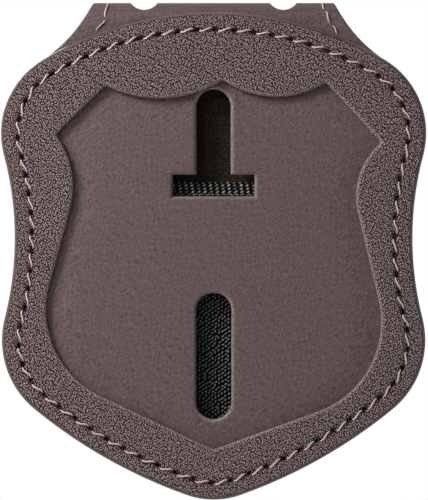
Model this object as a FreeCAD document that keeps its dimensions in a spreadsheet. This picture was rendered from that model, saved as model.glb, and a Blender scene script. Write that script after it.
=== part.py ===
import FreeCAD, Part
import math
import os
import Sketcher

# A leather badge holder that clips to a belt: a grained front frame sewn over a smooth panel, whose
# strap folds over the top and becomes the rear flap. The badge sits in the frame's window, its pin
# and catch pass through the two slots, and hook and loop patches hold front and flap together.
# Frame: X across, Y from the front to the back, Z up. The origin is the middle of the belt's top edge,
# where it rests under the bend of the clip. Heights count from the bottom tip, rises and drops from what
# carries them.

Vector = FreeCAD.Vector

DRIVING_DIMENSIONS = {
    # Outline of the front, half of it: its circles from the bottom tip to the top.
    "tip_radius": 16.8,
    "edge_radius": 106.6,
    "half_width": 44.6,
    "low_height": 33.6,
    "low_radius": 18.8,
    "waist_radius": 67.7,
    "shoulder_overhang": 0.2,
    "shoulder_rise": 43.65,
    "shoulder_radius": 18.0,
    "top_rise": 25.4,
    # Strap that rises behind the frame and folds over to the back.
    "strap_rise": 2.25,
    "strap_inset": 19.6,
    "strap_hollow_radius": 30.0,
    "fold_split_angle": 60.0,
    "fold_slit": 0.04,
    "chain_notch_radius": 3.3,
    "chain_notch_depth": 1.6,
    "chain_notch_inset": 10.3,
    # Window in the frame, cut by hand, so its two sides differ a little. Bands are the leather beside it.
    "window_side_band": 9.5,
    "window_top_band": 14.45,
    "window_bottom_band": 10.8,
    "window_apex_x": 2.0,
    "window_right_corner_inset": 11.5,
    "window_right_corner_drop": 0.5,
    "window_right_scallop_angle": 33.5,
    "window_right_point_rise": 11.4,
    "window_right_waist_inset": 5.3,
    "window_right_waist_rise": 26.3,
    "window_right_waist_radius": 15.0,
    "window_right_low_rise": 3.9,
    "window_left_corner_inset": 12.4,
    "window_left_corner_drop": 1.1,
    "window_left_scallop_angle": 29.5,
    "window_left_point_rise": 10.9,
    "window_left_waist_inset": 5.7,
    "window_left_waist_rise": 26.0,
    "window_left_waist_radius": 18.0,
    "window_left_low_rise": 6.4,
    "window_low_radius": 19.9,
    "window_edge_round": 0.6,
    "outer_edge_round": 0.5,
    # Badge seat and the slots for the badge's catch and pin.
    "seat_height": 0.15,
    "seat_clearance": 0.3,
    "stem_half_width": 3.6,
    "stem_top_drop": 1.7,
    "stem_length": 18.0,
    "crossbar_half_width": 8.6,
    "crossbar_width": 4.6,
    "pin_slot_half_width": 3.75,
    "pin_slot_length": 26.7,
    "pin_slot_rise": 6.1,
    # Layers, from the front to the back.
    "frame_thickness": 2.0,
    "panel_thickness": 1.2,
    "lining_thickness": 0.6,
    "tape_base_thickness": 0.5,
    "tape_field_thickness": 0.8,
    "closure_gap": 0.2,
    "stiffener_thickness": 0.8,
    "stiffener_drop": 4.3,
    "lining_step_length": 1.8,
    # Hook and loop patches.
    "patch_side_band": 22.6,
    "patch_top_drop": 1.6,
    "patch_bottom_drop": 2.4,
    "patch_selvedge": 2.6,
    # Stitching.
    "seam_inset": 3.7,
    "seam_pitch": 4.0,
    "stitch_gap": 1.1,
    "thread_diameter": 0.55,
    "seam_channel_width": 1.3,
    "seam_channel_depth": 0.3,
    "patch_seam_inset": 1.3,
    # Belt clip, one strip of spring steel, and its two rivets.
    "belt_rest_drop": 13.8,
    "belt_gap": 5.5,
    "clip_thickness": 0.9,
    "clip_width": 28.0,
    "clip_corner_radius": 4.0,
    "clip_base_length": 18.0,
    "clip_arm_straight": 16.0,
    "clip_arm_bend_radius": 25.0,
    "clip_arm_bend_angle": 16.0,
    "clip_arm_slope": 17.0,
    "clip_lip_radius": 5.0,
    "clip_lip_angle": 46.0,
    "clip_lip_length": 3.0,
    "rivet_half_spacing": 8.5,
    "rivet_drop": 11.5,
    "rivet_diameter": 3.0,
    "rivet_head_diameter": 5.5,
    "rivet_head_thickness": 0.8,
    "rivet_hole_clearance": 0.1,
    "clinch_diameter": 4.4,
    "clinch_thickness": 0.45,
    "washer_diameter": 6.4,
    "washer_thickness": 0.5,
    "access_hole_diameter": 6.4,
}

# Stock that stands over a trimming cut.
TRIM = 1

# Values that follow from the driving dimensions.
DERIVED_VALUES = {
    "low_x": "dims.half_width - dims.low_radius",
    "shoulder_x": "dims.half_width + dims.shoulder_overhang - dims.shoulder_radius",
    "shoulder_height": "dims.low_height + dims.shoulder_rise",
    "frame_height": "shoulder_height + dims.top_rise",
    "top_radius":
        "(shoulder_x^2 + dims.top_rise^2 - dims.shoulder_radius^2)"
        " / (2 * (dims.top_rise - dims.shoulder_radius))",
    "strap_half_width": "dims.half_width - dims.strap_inset",
    "fold_top_height": "frame_height + dims.strap_rise",
    "chain_notch_x": "strap_half_width - dims.chain_notch_inset",
    "window_half_width": "dims.half_width - dims.window_side_band",
    "window_low_x": "window_half_width - dims.window_low_radius",
    "window_apex_height": "frame_height - dims.window_top_band",
    "window_right_low_height": "dims.low_height + dims.window_right_low_rise",
    "window_right_waist_height": "window_right_low_height + dims.window_right_waist_rise",
    "window_right_hollow_x":
        "window_half_width - dims.window_right_waist_inset + dims.window_right_waist_radius",
    "window_right_point_height": "window_right_waist_height + dims.window_right_point_rise",
    "window_right_corner_x": "window_half_width - dims.window_right_corner_inset",
    "window_right_corner_height": "window_apex_height - dims.window_right_corner_drop",
    "window_left_low_height": "dims.low_height + dims.window_left_low_rise",
    "window_left_waist_height": "window_left_low_height + dims.window_left_waist_rise",
    "window_left_hollow_x":
        "window_half_width - dims.window_left_waist_inset + dims.window_left_waist_radius",
    "window_left_point_height": "window_left_waist_height + dims.window_left_point_rise",
    "window_left_corner_x": "window_half_width - dims.window_left_corner_inset",
    "window_left_corner_height": "window_apex_height - dims.window_left_corner_drop",
    "window_right_scallop_radius":
        "sqrt((window_right_corner_x - dims.window_apex_x)^2 + dims.window_right_corner_drop^2)"
        " / (2 * sin(dims.window_right_scallop_angle * 1 deg))",
    "window_left_scallop_radius":
        "sqrt((window_left_corner_x + dims.window_apex_x)^2 + dims.window_left_corner_drop^2)"
        " / (2 * sin(dims.window_left_scallop_angle * 1 deg))",
    "stem_top_height": "window_apex_height - dims.stem_top_drop",
    "crossbar_top_height": "stem_top_height - dims.stem_length",
    "crossbar_bottom_height": "crossbar_top_height - dims.crossbar_width",
    "pin_slot_bottom_height": "dims.window_bottom_band + dims.pin_slot_rise",
    "pin_slot_top_height": "pin_slot_bottom_height + dims.pin_slot_length",
    "strap_cut_height": "fold_top_height + %s" % TRIM,
    "tape_thickness": "dims.tape_base_thickness + dims.tape_field_thickness",
    "closure_depth": "2 * tape_thickness + dims.closure_gap",
    "fold_outer_radius":
        "(2 * dims.panel_thickness + 2 * dims.lining_thickness + dims.stiffener_thickness"
        " + closure_depth) / 2",
    "fold_inner_radius": "fold_outer_radius - dims.panel_thickness",
    "fold_lining_radius": "fold_inner_radius - dims.lining_thickness",
    "fold_height": "fold_top_height - fold_outer_radius",
    "fold_centre_y": "-(fold_outer_radius + dims.clip_thickness + dims.belt_gap / 2)",
    "belt_rest_height": "fold_top_height - dims.belt_rest_drop",
    "fold_centre_z": "fold_height - belt_rest_height",
    "stiffener_top_height": "fold_height - dims.stiffener_drop",
    "patch_width": "2 * (dims.half_width - dims.patch_side_band)",
    "patch_top_height": "crossbar_top_height - dims.patch_top_drop",
    "patch_bottom_height": "pin_slot_bottom_height - dims.patch_bottom_drop",
    "patch_length": "patch_top_height - patch_bottom_height",
    "field_width": "patch_width - 2 * dims.patch_selvedge",
    "field_length": "patch_length - 2 * dims.patch_selvedge",
    "rivet_hole_diameter": "dims.rivet_diameter + 2 * dims.rivet_hole_clearance",
    "rivet_length":
        "dims.clinch_thickness + dims.washer_thickness + dims.lining_thickness + dims.stiffener_thickness"
        " + dims.panel_thickness + dims.clip_thickness",
    "rivet_dome_radius":
        "(dims.rivet_head_thickness^2 + dims.rivet_head_diameter^2 / 4) / (2 * dims.rivet_head_thickness)",
    "tail_length": "fold_height + %s" % TRIM,
    "sheet_width": "2 * (dims.half_width + dims.shoulder_overhang + %s)" % TRIM,
    "board_height": "stiffener_top_height + %s" % TRIM,
}

LEFT, MIDDLE, RIGHT = range(-1, 2)
TOUCHING = 1e-4
# The sketcher's numbers for a curve's points, and for the origin of a sketch.
START, END, CENTRE = range(1, 4)
ORIGIN = (-1, START)

doc = FreeCAD.newDocument("badge_holder")
dims = doc.addObject("Spreadsheet::Sheet", "dims")
for row, (alias, number) in enumerate(DRIVING_DIMENSIONS.items(), start=1):
    dims.set("A%d" % row, str(number))
    dims.setAlias("A%d" % row, alias)
doc.recompute()

derived = doc.addObject("App::VarSet", "derived")
for name, formula in DERIVED_VALUES.items():
    derived.addProperty("App::PropertyFloat", name, "Sizes")
    derived.setExpression(name, formula)
    doc.recompute()


def size(name):
    """The number behind a name of the sheet or of the derived values."""
    owner = derived if name in DERIVED_VALUES else dims
    return getattr(owner, name)


def cell(name):
    """The same name, as an expression uses it."""
    owner = "derived." if name in DERIVED_VALUES else "dims."
    return owner + name


class Round:
    """One circle of an outline: hollow where the outline bends inwards, a corner where it has no radius."""

    def __init__(self, x, height, radius, side, hollow=False):
        self.x = x
        self.height = height
        self.radius = radius
        self.side = side
        self.hollow = hollow

    def centre(self):
        across = size(self.x) * self.side if self.side else 0
        return Vector(across, size(self.height), 0)

    def signed_radius(self, inset):
        """Positive where the outline turns left on its way round, less the inset on every circle."""
        if self.radius is None:
            return 0
        return (-1 if self.hollow else 1) * size(self.radius) - inset


def corner(x, height, side):
    return Round(x, height, None, side)


def touch_points(first, first_radius, second, second_radius):
    """Ends of the straight line from one circle to the next, with both circles on its left."""
    span = second - first
    turn = math.asin((second_radius - first_radius) / span.Length)
    ahead = Vector(span.x * math.cos(turn) + span.y * math.sin(turn),
                   span.y * math.cos(turn) - span.x * math.sin(turn), 0) / span.Length
    left = Vector(-ahead.y, ahead.x, 0)
    return first - left * first_radius, second - left * second_radius


def joining_centre(first, first_radius, second, second_radius, radius):
    """Centre of the arc of a given radius that runs smoothly from one circle into the next."""
    span = second - first
    ahead = span / span.Length
    left = Vector(-ahead.y, ahead.x, 0)
    to_first = abs(radius - first_radius)
    to_second = abs(radius - second_radius)
    along = (to_first ** 2 - to_second ** 2 + span.Length ** 2) / (2 * span.Length)
    beside = math.sqrt(to_first ** 2 - along ** 2)
    return first + ahead * along + left * math.copysign(beside, radius)


def point_on_circle(centre, radius, height):
    """Point of a hollow circle at a given height, on the side towards the middle line."""
    across = math.sqrt(radius ** 2 - (height - centre.y) ** 2)
    return Vector(centre.x - math.copysign(across, centre.x), height, 0)


def arc_between(centre, radius, start, finish):
    """Arc from start to finish, anticlockwise for a positive radius and clockwise for a negative one."""
    first, last = (start, finish) if radius > 0 else (finish, start)
    angles = [math.atan2(point.y - centre.y, point.x - centre.x) for point in (first, last)]
    circle = Part.Circle(centre, Vector(0, 0, 1), abs(radius))
    return Part.ArcOfCircle(circle, angles[0], angles[1])


class Outline:
    """A closed outline, anticlockwise: circles, and the straight line, arc or level cut after each."""

    def __init__(self, rounds, links):
        self.rounds = rounds
        self.links = links

    def link_ends(self, number, inset):
        """Where the link after one circle leaves it and where it meets the next."""
        here = self.rounds[number]
        there = self.rounds[(number + 1) % len(self.rounds)]
        kind, name = self.links[number]
        start, finish = here.centre(), there.centre()
        start_radius, finish_radius = here.signed_radius(inset), there.signed_radius(inset)
        if kind == "level":
            height = size(name)
            leave = point_on_circle(start, start_radius, height) if start_radius else start
            arrive = point_on_circle(finish, finish_radius, height) if finish_radius else finish
            return leave, arrive, None
        if kind == "straight":
            leave, arrive = touch_points(start, start_radius, finish, finish_radius)
            return leave, arrive, None
        radius = size(name) if kind == "arc" else -size(name)
        middle = joining_centre(start, here.signed_radius(0), finish, there.signed_radius(0), radius)
        radius -= inset
        ends = []
        for centre in (start, finish):
            ends.append(middle + (centre - middle) / (centre - middle).Length * abs(radius))
        return ends[0], ends[1], (middle, radius)

    def pieces(self, inset=0.0):
        """Curves of the outline in order, each with what it belongs to and its way round."""
        count = len(self.rounds)
        ends = [self.link_ends(number, inset) for number in range(count)]
        result = []
        for number, station in enumerate(self.rounds):
            leave, arrive, bow = ends[number]
            if station.radius is not None:
                radius = station.signed_radius(inset)
                came = ends[number - 1][1]
                turn = arc_between(station.centre(), radius, came, leave)
                result.append((turn, "round", number, radius > 0))
            if bow is None:
                result.append((Part.LineSegment(leave, arrive), "link", number, True))
            else:
                result.append((arc_between(bow[0], bow[1], leave, arrive), "link", number, bow[1] > 0))
        return result

    def wire(self, inset=0.0):
        return Part.Wire(Part.__sortEdges__([piece[0].toShape() for piece in self.pieces(inset)]))

    def draw(self, label):
        """The outline as a sketch that stands upright over the bottom tip, its sizes bound to the sheet."""
        sketch = doc.addObject("Sketcher::SketchObject", label)
        pieces = self.pieces()
        sketch.addGeometry([piece[0] for piece in pieces], False)
        for number, (curve, kind, station, forward) in enumerate(pieces):
            other = (number + 1) % len(pieces)
            here_end = END if forward else START
            other_start = START if pieces[other][3] else END
            smooth = {kind, pieces[other][1]} == {"round", "link"} and self.links[
                station if kind == "link" else pieces[other][2]][0] != "level"
            sketch.addConstraint(Sketcher.Constraint(
                "Tangent" if smooth else "Coincident", number, here_end, other, other_start))
            if kind == "round":
                self.bind_round(sketch, number, self.rounds[station])
            else:
                self.bind_link(sketch, number, station)
        stand_up(sketch)
        return sketch

    def bind_round(self, sketch, number, station):
        bind(sketch, Sketcher.Constraint("Radius", number, size(station.radius)), cell(station.radius))
        bind_point(sketch, number, CENTRE, station)

    def bind_link(self, sketch, number, station):
        kind, name = self.links[station]
        start = self.rounds[station]
        if start.radius is None:
            leaves_at = END if kind == "hollow" else START
            bind_point(sketch, number, leaves_at, start)
        if kind in ("arc", "hollow"):
            bind(sketch, Sketcher.Constraint("Radius", number, size(name)), cell(name))
        if kind == "level":
            finish = self.rounds[(station + 1) % len(self.rounds)]
            for position, end in ((START, start), (END, finish)):
                if end.radius is not None:
                    level = Sketcher.Constraint("DistanceY", *ORIGIN, number, position, size(name))
                    bind(sketch, level, cell(name))


def bind(sketch, constraint, expression):
    """Adds a size to a sketch and ties it to the sheet."""
    number = sketch.addConstraint(constraint)
    sketch.setExpression("Constraints[%d]" % number, expression)


def bind_point(sketch, number, position, station):
    """Ties one point of a sketch to the place that a circle or corner of an outline has."""
    if station.side == MIDDLE:
        keep_on_middle(sketch, number, position)
    else:
        ends = (*ORIGIN, number, position) if station.side == RIGHT else (number, position, *ORIGIN)
        bind(sketch, Sketcher.Constraint("DistanceX", *ends, size(station.x)), cell(station.x))
    height = Sketcher.Constraint("DistanceY", *ORIGIN, number, position, size(station.height))
    bind(sketch, height, cell(station.height))


def keep_on_middle(sketch, number, position):
    """Keeps one point of a sketch on the sketch's upright axis."""
    upright_axis = -2
    sketch.addConstraint(Sketcher.Constraint("PointOnObject", number, position, upright_axis))


def join(sketch, kind, joints):
    """Joins the ends of curves in a sketch, smoothly (kind Tangent) or at a corner (kind Coincident)."""
    for ends in joints:
        sketch.addConstraint(Sketcher.Constraint(kind, *ends))


def stand_up(sketch):
    """Puts a front-view sketch upright, with its own origin at the bottom tip of the holder."""
    tip = Vector(0, 0, -size("belt_rest_height"))
    sketch.Placement = FreeCAD.Placement(tip, FreeCAD.Rotation(Vector(1, 0, 0), 90))


STRAIGHT = ("straight", None)
LOWER_EDGE = ("arc", "edge_radius")
WAIST = ("hollow", "waist_radius")
STRAP_HOLLOW = ("hollow", "strap_hollow_radius")


def outline_side(side):
    """Circles of one side of the outline, from the bottom to the shoulder."""
    return [
        Round("low_x", "low_height", "low_radius", side),
        Round("shoulder_x", "shoulder_height", "shoulder_radius", side),
    ]


def closed_outline(top_corners, top_links):
    """The shield from its bottom tip up both sides, closed across the top by the given corners and links."""
    tip = Round(None, "tip_radius", "tip_radius", MIDDLE)
    rounds = [tip] + outline_side(RIGHT) + top_corners + outline_side(LEFT)[::-1]
    return Outline(rounds, [LOWER_EDGE, WAIST] + top_links + [WAIST, LOWER_EDGE])


def frame_outline():
    """Outline of the front frame: the shield, closed by its arched top."""
    return closed_outline([], [("arc", "top_radius")])


def strap_outline():
    """Outline of the panel and of the flap: the same shield, drawn up into the strap."""
    corners = [corner("strap_half_width", "strap_cut_height", side) for side in (RIGHT, LEFT)]
    return closed_outline(corners, [STRAP_HOLLOW, ("level", "strap_cut_height"), STRAP_HOLLOW])


def window_side(side, name):
    """Circles and corners of one side of the window, from its lower curve to its upper corner."""
    return [
        Round("window_low_x", "window_%s_low_height" % name, "window_low_radius", side),
        Round("window_%s_hollow_x" % name, "window_%s_waist_height" % name,
              "window_%s_waist_radius" % name, side, hollow=True),
        corner("window_%s_corner_x" % name, "window_%s_corner_height" % name, side),
    ]


def window_outline():
    """Outline of the window: pointed below, waisted, with two scallops across its top."""
    bottom = corner(None, "window_bottom_band", MIDDLE)
    apex = corner("window_apex_x", "window_apex_height", RIGHT)
    rounds = [bottom] + window_side(RIGHT, "right") + [apex] + window_side(LEFT, "left")[::-1]
    links = [
        STRAIGHT,
        STRAIGHT,
        ("level", "window_right_point_height"),
        ("hollow", "window_right_scallop_radius"),
        ("hollow", "window_left_scallop_radius"),
        ("level", "window_left_point_height"),
        STRAIGHT,
        STRAIGHT,
    ]
    return Outline(rounds, links)


def front_sketch(label, curves):
    """A plain front-view sketch of curves that are given in order round a closed outline."""
    sketch = doc.addObject("Sketcher::SketchObject", label)
    sketch.addGeometry(curves, False)
    stand_up(sketch)
    return sketch


def front_slab(label, profile, thickness, front_y):
    """A front-view outline made solid towards the back."""
    slab = doc.addObject("Part::Extrusion", label)
    slab.Base = profile
    slab.DirMode = "Custom"
    slab.Dir = Vector(0, 1, 0)
    slab.Solid = True
    slab.setExpression("LengthFwd", thickness)
    slab.Placement = FreeCAD.Placement(Vector(0, front_y, 0), FreeCAD.Rotation())
    return slab


def side_slab(label, profile, width):
    """A side-view outline made solid across the holder, to both sides of its middle."""
    slab = doc.addObject("Part::Extrusion", label)
    slab.Base = profile
    slab.DirMode = "Custom"
    slab.Dir = Vector(1, 0, 0)
    slab.Solid = True
    slab.Symmetric = True
    slab.setExpression("LengthFwd", width)
    return slab


def cut(label, base, tool):
    result = doc.addObject("Part::Cut", label)
    result.Base = base
    result.Tool = tool
    return result


def fuse(label, base, tool):
    result = doc.addObject("Part::Fuse", label)
    result.Base = base
    result.Tool = tool
    return result


def common(label, base, tool):
    result = doc.addObject("Part::Common", label)
    result.Base = base
    result.Tool = tool
    return result


def group(label, members):
    result = doc.addObject("Part::Compound", label)
    result.Links = members
    return result


def inset_outline(label, source, inset):
    """The outline of a sketch, moved inwards by a bound length."""
    result = doc.addObject("Part::Offset2D", label)
    result.Source = source
    result.Join = "Intersection"
    result.setExpression("Value", "-(%s)" % inset)
    return result


def box(label, width, depth, height, corner_at):
    result = doc.addObject("Part::Box", label)
    result.setExpression("Length", width)
    result.setExpression("Width", depth)
    result.setExpression("Height", height)
    result.Placement = FreeCAD.Placement(corner_at, FreeCAD.Rotation())
    return result


def level(height):
    """Height over the bottom tip, as a height in the frame of the whole holder."""
    return height - size("belt_rest_height")


# Depths of the layers, from the frame's face to the back of the flap.
fold_y = size("fold_centre_y")
fold_z = size("fold_centre_z")
panel_y = fold_y - size("fold_outer_radius")
frame_y = panel_y - size("frame_thickness")
front_lining_y = panel_y + size("panel_thickness")
loop_y = front_lining_y + size("lining_thickness")
flap_lining_y = loop_y + size("closure_depth")
hook_y = flap_lining_y - size("tape_thickness")
stiffener_y = flap_lining_y + size("lining_thickness")
cover_y = stiffener_y + size("stiffener_thickness")
clip_y = cover_y + size("panel_thickness")
belt_side_y = clip_y + size("clip_thickness")

frame_sketch = frame_outline().draw("frame_outline")
strap_sketch = strap_outline().draw("strap_outline")
window_sketch = window_outline().draw("window_outline")
doc.recompute()

# Front frame: grained leather with the badge window, rounded edges and a pressed channel for the seam.
frame_blank = front_slab("frame_blank", frame_sketch, "dims.frame_thickness", frame_y)
window_plug = front_slab("window_plug", window_sketch, "dims.frame_thickness", frame_y)
frame_open = cut("frame_open", frame_blank, window_plug)
doc.recompute()


def rounded_front_edges(label, base, front_y):
    """Rounds the front edges of the frame, those of the window and of the outline with a radius each."""
    rounded = doc.addObject("Part::Fillet", label)
    rounded.Base = base
    from_the_top = sorted(enumerate(base.Shape.Edges, start=1), key=lambda item: -item[1].CenterOfMass.z)
    edges = []
    for number, edge in from_the_top:
        if edge.BoundBox.YMax > front_y + TOUCHING:
            continue
        middle = Part.Vertex(edge.valueAt((edge.FirstParameter + edge.LastParameter) / 2))
        at_window = window_plug.Shape.distToShape(middle)[0] < TOUCHING
        radius = size("window_edge_round") if at_window else size("outer_edge_round")
        edges.append((number, radius, radius))
    rounded.Edges = edges
    return rounded


frame_rounded = rounded_front_edges("frame_rounded", frame_open, frame_y)
channel_outer = inset_outline("channel_outer", frame_sketch, "dims.seam_inset - dims.seam_channel_width / 2")
channel_inner = inset_outline("channel_inner", frame_sketch, "dims.seam_inset + dims.seam_channel_width / 2")
channel = cut(
    "seam_channel",
    front_slab("channel_outer_slab", channel_outer, "dims.seam_channel_depth", frame_y),
    front_slab("channel_inner_slab", channel_inner, "dims.seam_channel_depth", frame_y))
front_frame = cut("front_frame", frame_rounded, channel)
doc.recompute()

# Slots for the badge's catch and pin: a T with a round top, and a long slot with round ends below it.


def slots():
    """Sketch of both slots, cut through every layer of the front behind the window."""
    stem = size("stem_half_width")
    bar = size("crossbar_half_width")
    bar_top = size("crossbar_top_height")
    bar_bottom = size("crossbar_bottom_height")
    stem_turn = size("stem_top_height") - stem
    pin = size("pin_slot_half_width")
    pin_top = size("pin_slot_top_height") - pin
    pin_bottom = size("pin_slot_bottom_height") + pin
    outward = Vector(0, 0, 1)
    t_points = [(stem, stem_turn), (stem, bar_top), (bar, bar_top), (bar, bar_bottom),
                (-bar, bar_bottom), (-bar, bar_top), (-stem, bar_top), (-stem, stem_turn)]
    corners = [Vector(x, height, 0) for x, height in t_points]
    curves = [Part.LineSegment(start, finish) for start, finish in zip(corners, corners[1:])]
    curves.append(Part.ArcOfCircle(Part.Circle(Vector(0, stem_turn, 0), outward, stem), 0, math.pi))
    curves.append(Part.LineSegment(Vector(pin, pin_bottom, 0), Vector(pin, pin_top, 0)))
    curves.append(Part.ArcOfCircle(Part.Circle(Vector(0, pin_top, 0), outward, pin), 0, math.pi))
    curves.append(Part.LineSegment(Vector(-pin, pin_top, 0), Vector(-pin, pin_bottom, 0)))
    curves.append(Part.ArcOfCircle(Part.Circle(Vector(0, pin_bottom, 0), outward, pin), math.pi, 2 * math.pi))
    sketch = front_sketch("slots", curves)
    (right_stem, right_step, right_bar, bar_base, left_bar, left_step, left_stem, stem_arc,
     pin_right, top_arc, pin_left, bottom_arc) = range(len(curves))
    join(sketch, "Coincident", [(number, END, number + 1, START) for number in range(left_stem)])
    for number in (right_stem, right_bar, left_bar, left_stem):
        sketch.addConstraint(Sketcher.Constraint("Vertical", number))
    for number in (right_step, bar_base, left_step):
        sketch.addConstraint(Sketcher.Constraint("Horizontal", number))
    sketch.addConstraint(Sketcher.Constraint("PointOnObject", left_step, END, right_step))
    join(sketch, "Tangent", (
        (right_stem, START, stem_arc, START), (left_stem, END, stem_arc, END),
        (pin_right, END, top_arc, START), (top_arc, END, pin_left, START),
        (pin_left, END, bottom_arc, START), (bottom_arc, END, pin_right, START)))
    for arc in (stem_arc, top_arc, bottom_arc):
        keep_on_middle(sketch, arc, CENTRE)
    bind(sketch, Sketcher.Constraint("Radius", stem_arc, stem), "dims.stem_half_width")
    bind(sketch, Sketcher.Constraint("Radius", top_arc, pin), "dims.pin_slot_half_width")
    for curve, position, height, expression in (
            (stem_arc, CENTRE, stem_turn, "derived.stem_top_height - dims.stem_half_width"),
            (right_bar, START, bar_top, "derived.crossbar_top_height"),
            (right_bar, END, bar_bottom, "derived.crossbar_bottom_height"),
            (top_arc, CENTRE, pin_top, "derived.pin_slot_top_height - dims.pin_slot_half_width"),
            (bottom_arc, CENTRE, pin_bottom, "derived.pin_slot_bottom_height + dims.pin_slot_half_width")):
        bind(sketch, Sketcher.Constraint("DistanceY", *ORIGIN, curve, position, height), expression)
    for ends in ((*ORIGIN, right_bar, START), (left_bar, START, *ORIGIN)):
        bind(sketch, Sketcher.Constraint("DistanceX", *ends, bar), "dims.crossbar_half_width")
    return sketch


slots_sketch = slots()
slot_depth = "dims.panel_thickness + dims.lining_thickness + derived.tape_thickness + dims.seat_height"
slot_plug = front_slab("slot_plug", slots_sketch, slot_depth, panel_y - size("seat_height"))


def side_sketch(label, curves):
    """A side-view sketch with its own origin on the axis of the fold, Y to its right and Z upwards."""
    sketch = doc.addObject("Sketcher::SketchObject", label)
    sketch.addGeometry(curves, False)
    turned = FreeCAD.Rotation(Vector(1, 1, 1), 120)
    sketch.Placement = FreeCAD.Placement(Vector(0, fold_y, fold_z), turned)
    return sketch


def bind_fold_arc(sketch, number, radius):
    """Ties an arc of a bent sheet to the axis of the fold and to its radius."""
    sketch.addConstraint(Sketcher.Constraint("Coincident", number, CENTRE, *ORIGIN))
    bind(sketch, Sketcher.Constraint("Radius", number, size(radius)), cell(radius))


def fold_arc(radius, first_angle, last_angle):
    circle = Part.Circle(Vector(), Vector(0, 0, 1), size(radius))
    return Part.ArcOfCircle(circle, math.radians(first_angle), math.radians(last_angle))


def at_angle(radius, angle):
    return Vector(math.cos(math.radians(angle)), math.sin(math.radians(angle)), 0) * size(radius)


def fold_strip_section(label, outer, inner):
    """Side view of one layer of the middle of the fold, which bends round the fold's axis."""
    half = size("fold_split_angle") - math.degrees(size("fold_slit") / size("fold_outer_radius"))
    first, last = 90 - half, 90 + half
    curves = [
        fold_arc(outer, first, last),
        Part.LineSegment(at_angle(outer, last), at_angle(inner, last)),
        fold_arc(inner, first, last),
        Part.LineSegment(at_angle(inner, first), at_angle(outer, first)),
    ]
    sketch = side_sketch(label, curves)
    outer_arc, front_end, inner_arc, rear_end = range(4)
    bind_fold_arc(sketch, outer_arc, outer)
    bind_fold_arc(sketch, inner_arc, inner)
    join(sketch, "Coincident", (
        (outer_arc, END, front_end, START), (front_end, END, inner_arc, END),
        (inner_arc, START, rear_end, START), (rear_end, END, outer_arc, START)))
    return sketch


def hanging_section(label, outer, inner, side, step=0.0):
    """Side view of one layer of the front (side LEFT, towards -Y) or of the flap: its end of the fold and
    the sheet that hangs from it. A step takes the sheet in, over the top edge of the stiffener."""
    split = 90 - size("fold_split_angle")
    upright = 180 if side == LEFT else 0
    angles = (180 - split, 180) if side == LEFT else (0, split)
    split_end = 180 - split if side == LEFT else split
    tail = -size("tail_length")
    step_end = size("stiffener_top_height") - size("fold_height")
    step_start = step_end + size("lining_step_length")
    outsides = []
    for radius in (outer, inner):
        top = at_angle(radius, upright)
        points = [top]
        if step:
            points.append(Vector(top.x, step_start, 0))
            points.append(Vector(top.x - step * side, step_end, 0))
        points.append(Vector(points[-1].x, tail, 0))
        outsides.append(points)
    outside, inside = outsides
    curves = [fold_arc(outer, *angles), fold_arc(inner, *angles)]
    path = outside + inside[::-1]
    curves += [Part.LineSegment(start, finish) for start, finish in zip(path, path[1:])]
    curves.append(Part.LineSegment(at_angle(inner, split_end), at_angle(outer, split_end)))
    sketch = side_sketch(label, curves)
    outer_arc, inner_arc, first_line = range(3)
    last_line, end_line = len(curves) - 2, len(curves) - 1
    bind_fold_arc(sketch, outer_arc, outer)
    bind_fold_arc(sketch, inner_arc, inner)
    hanging_point, split_point = (END, START) if side == LEFT else (START, END)
    join(sketch, "Tangent", (
        (outer_arc, hanging_point, first_line, START), (inner_arc, hanging_point, last_line, END)))
    join(sketch, "Coincident", [(number, END, number + 1, START) for number in range(first_line, last_line)])
    join(sketch, "Coincident", (
        (inner_arc, split_point, end_line, START), (outer_arc, split_point, end_line, END)))
    bottom_line = first_line + len(outside) - 1
    sketch.addConstraint(Sketcher.Constraint("Horizontal", bottom_line))
    bind(sketch, Sketcher.Constraint("DistanceY", bottom_line, START, *ORIGIN, -tail), cell("tail_length"))
    return sketch


def folded_sheet(label, section):
    """One layer of leather or lining: its bent side view, trimmed to the outline with the strap."""
    whole = side_slab(label + "_bent", section, cell("sheet_width"))
    return common(label + "_trimmed", whole, strap_block)


front_to_back = "dims.frame_thickness + 2 * derived.fold_outer_radius + dims.clip_thickness"
strap_block = front_slab("strap_block", strap_sketch, front_to_back, frame_y)

# Recess panel: the smooth leather behind the window, with the badge seat raised a little inside it.
panel_sheet = folded_sheet(
    "recess_panel", hanging_section("recess_panel_section", "fold_outer_radius", "fold_inner_radius", LEFT))
seat_outline = inset_outline("seat_outline", window_sketch, "dims.seat_clearance")
seat = front_slab("seat", seat_outline, "dims.seat_height", panel_y - size("seat_height"))
recess_panel = cut("recess_panel", fuse("panel_with_seat", panel_sheet, seat), slot_plug)

# Front lining: thin leather on the back of the panel.
front_lining_sheet = folded_sheet(
    "front_lining", hanging_section("front_lining_section", "fold_inner_radius", "fold_lining_radius", LEFT))
front_lining = cut("front_lining", front_lining_sheet, slot_plug)

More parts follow.
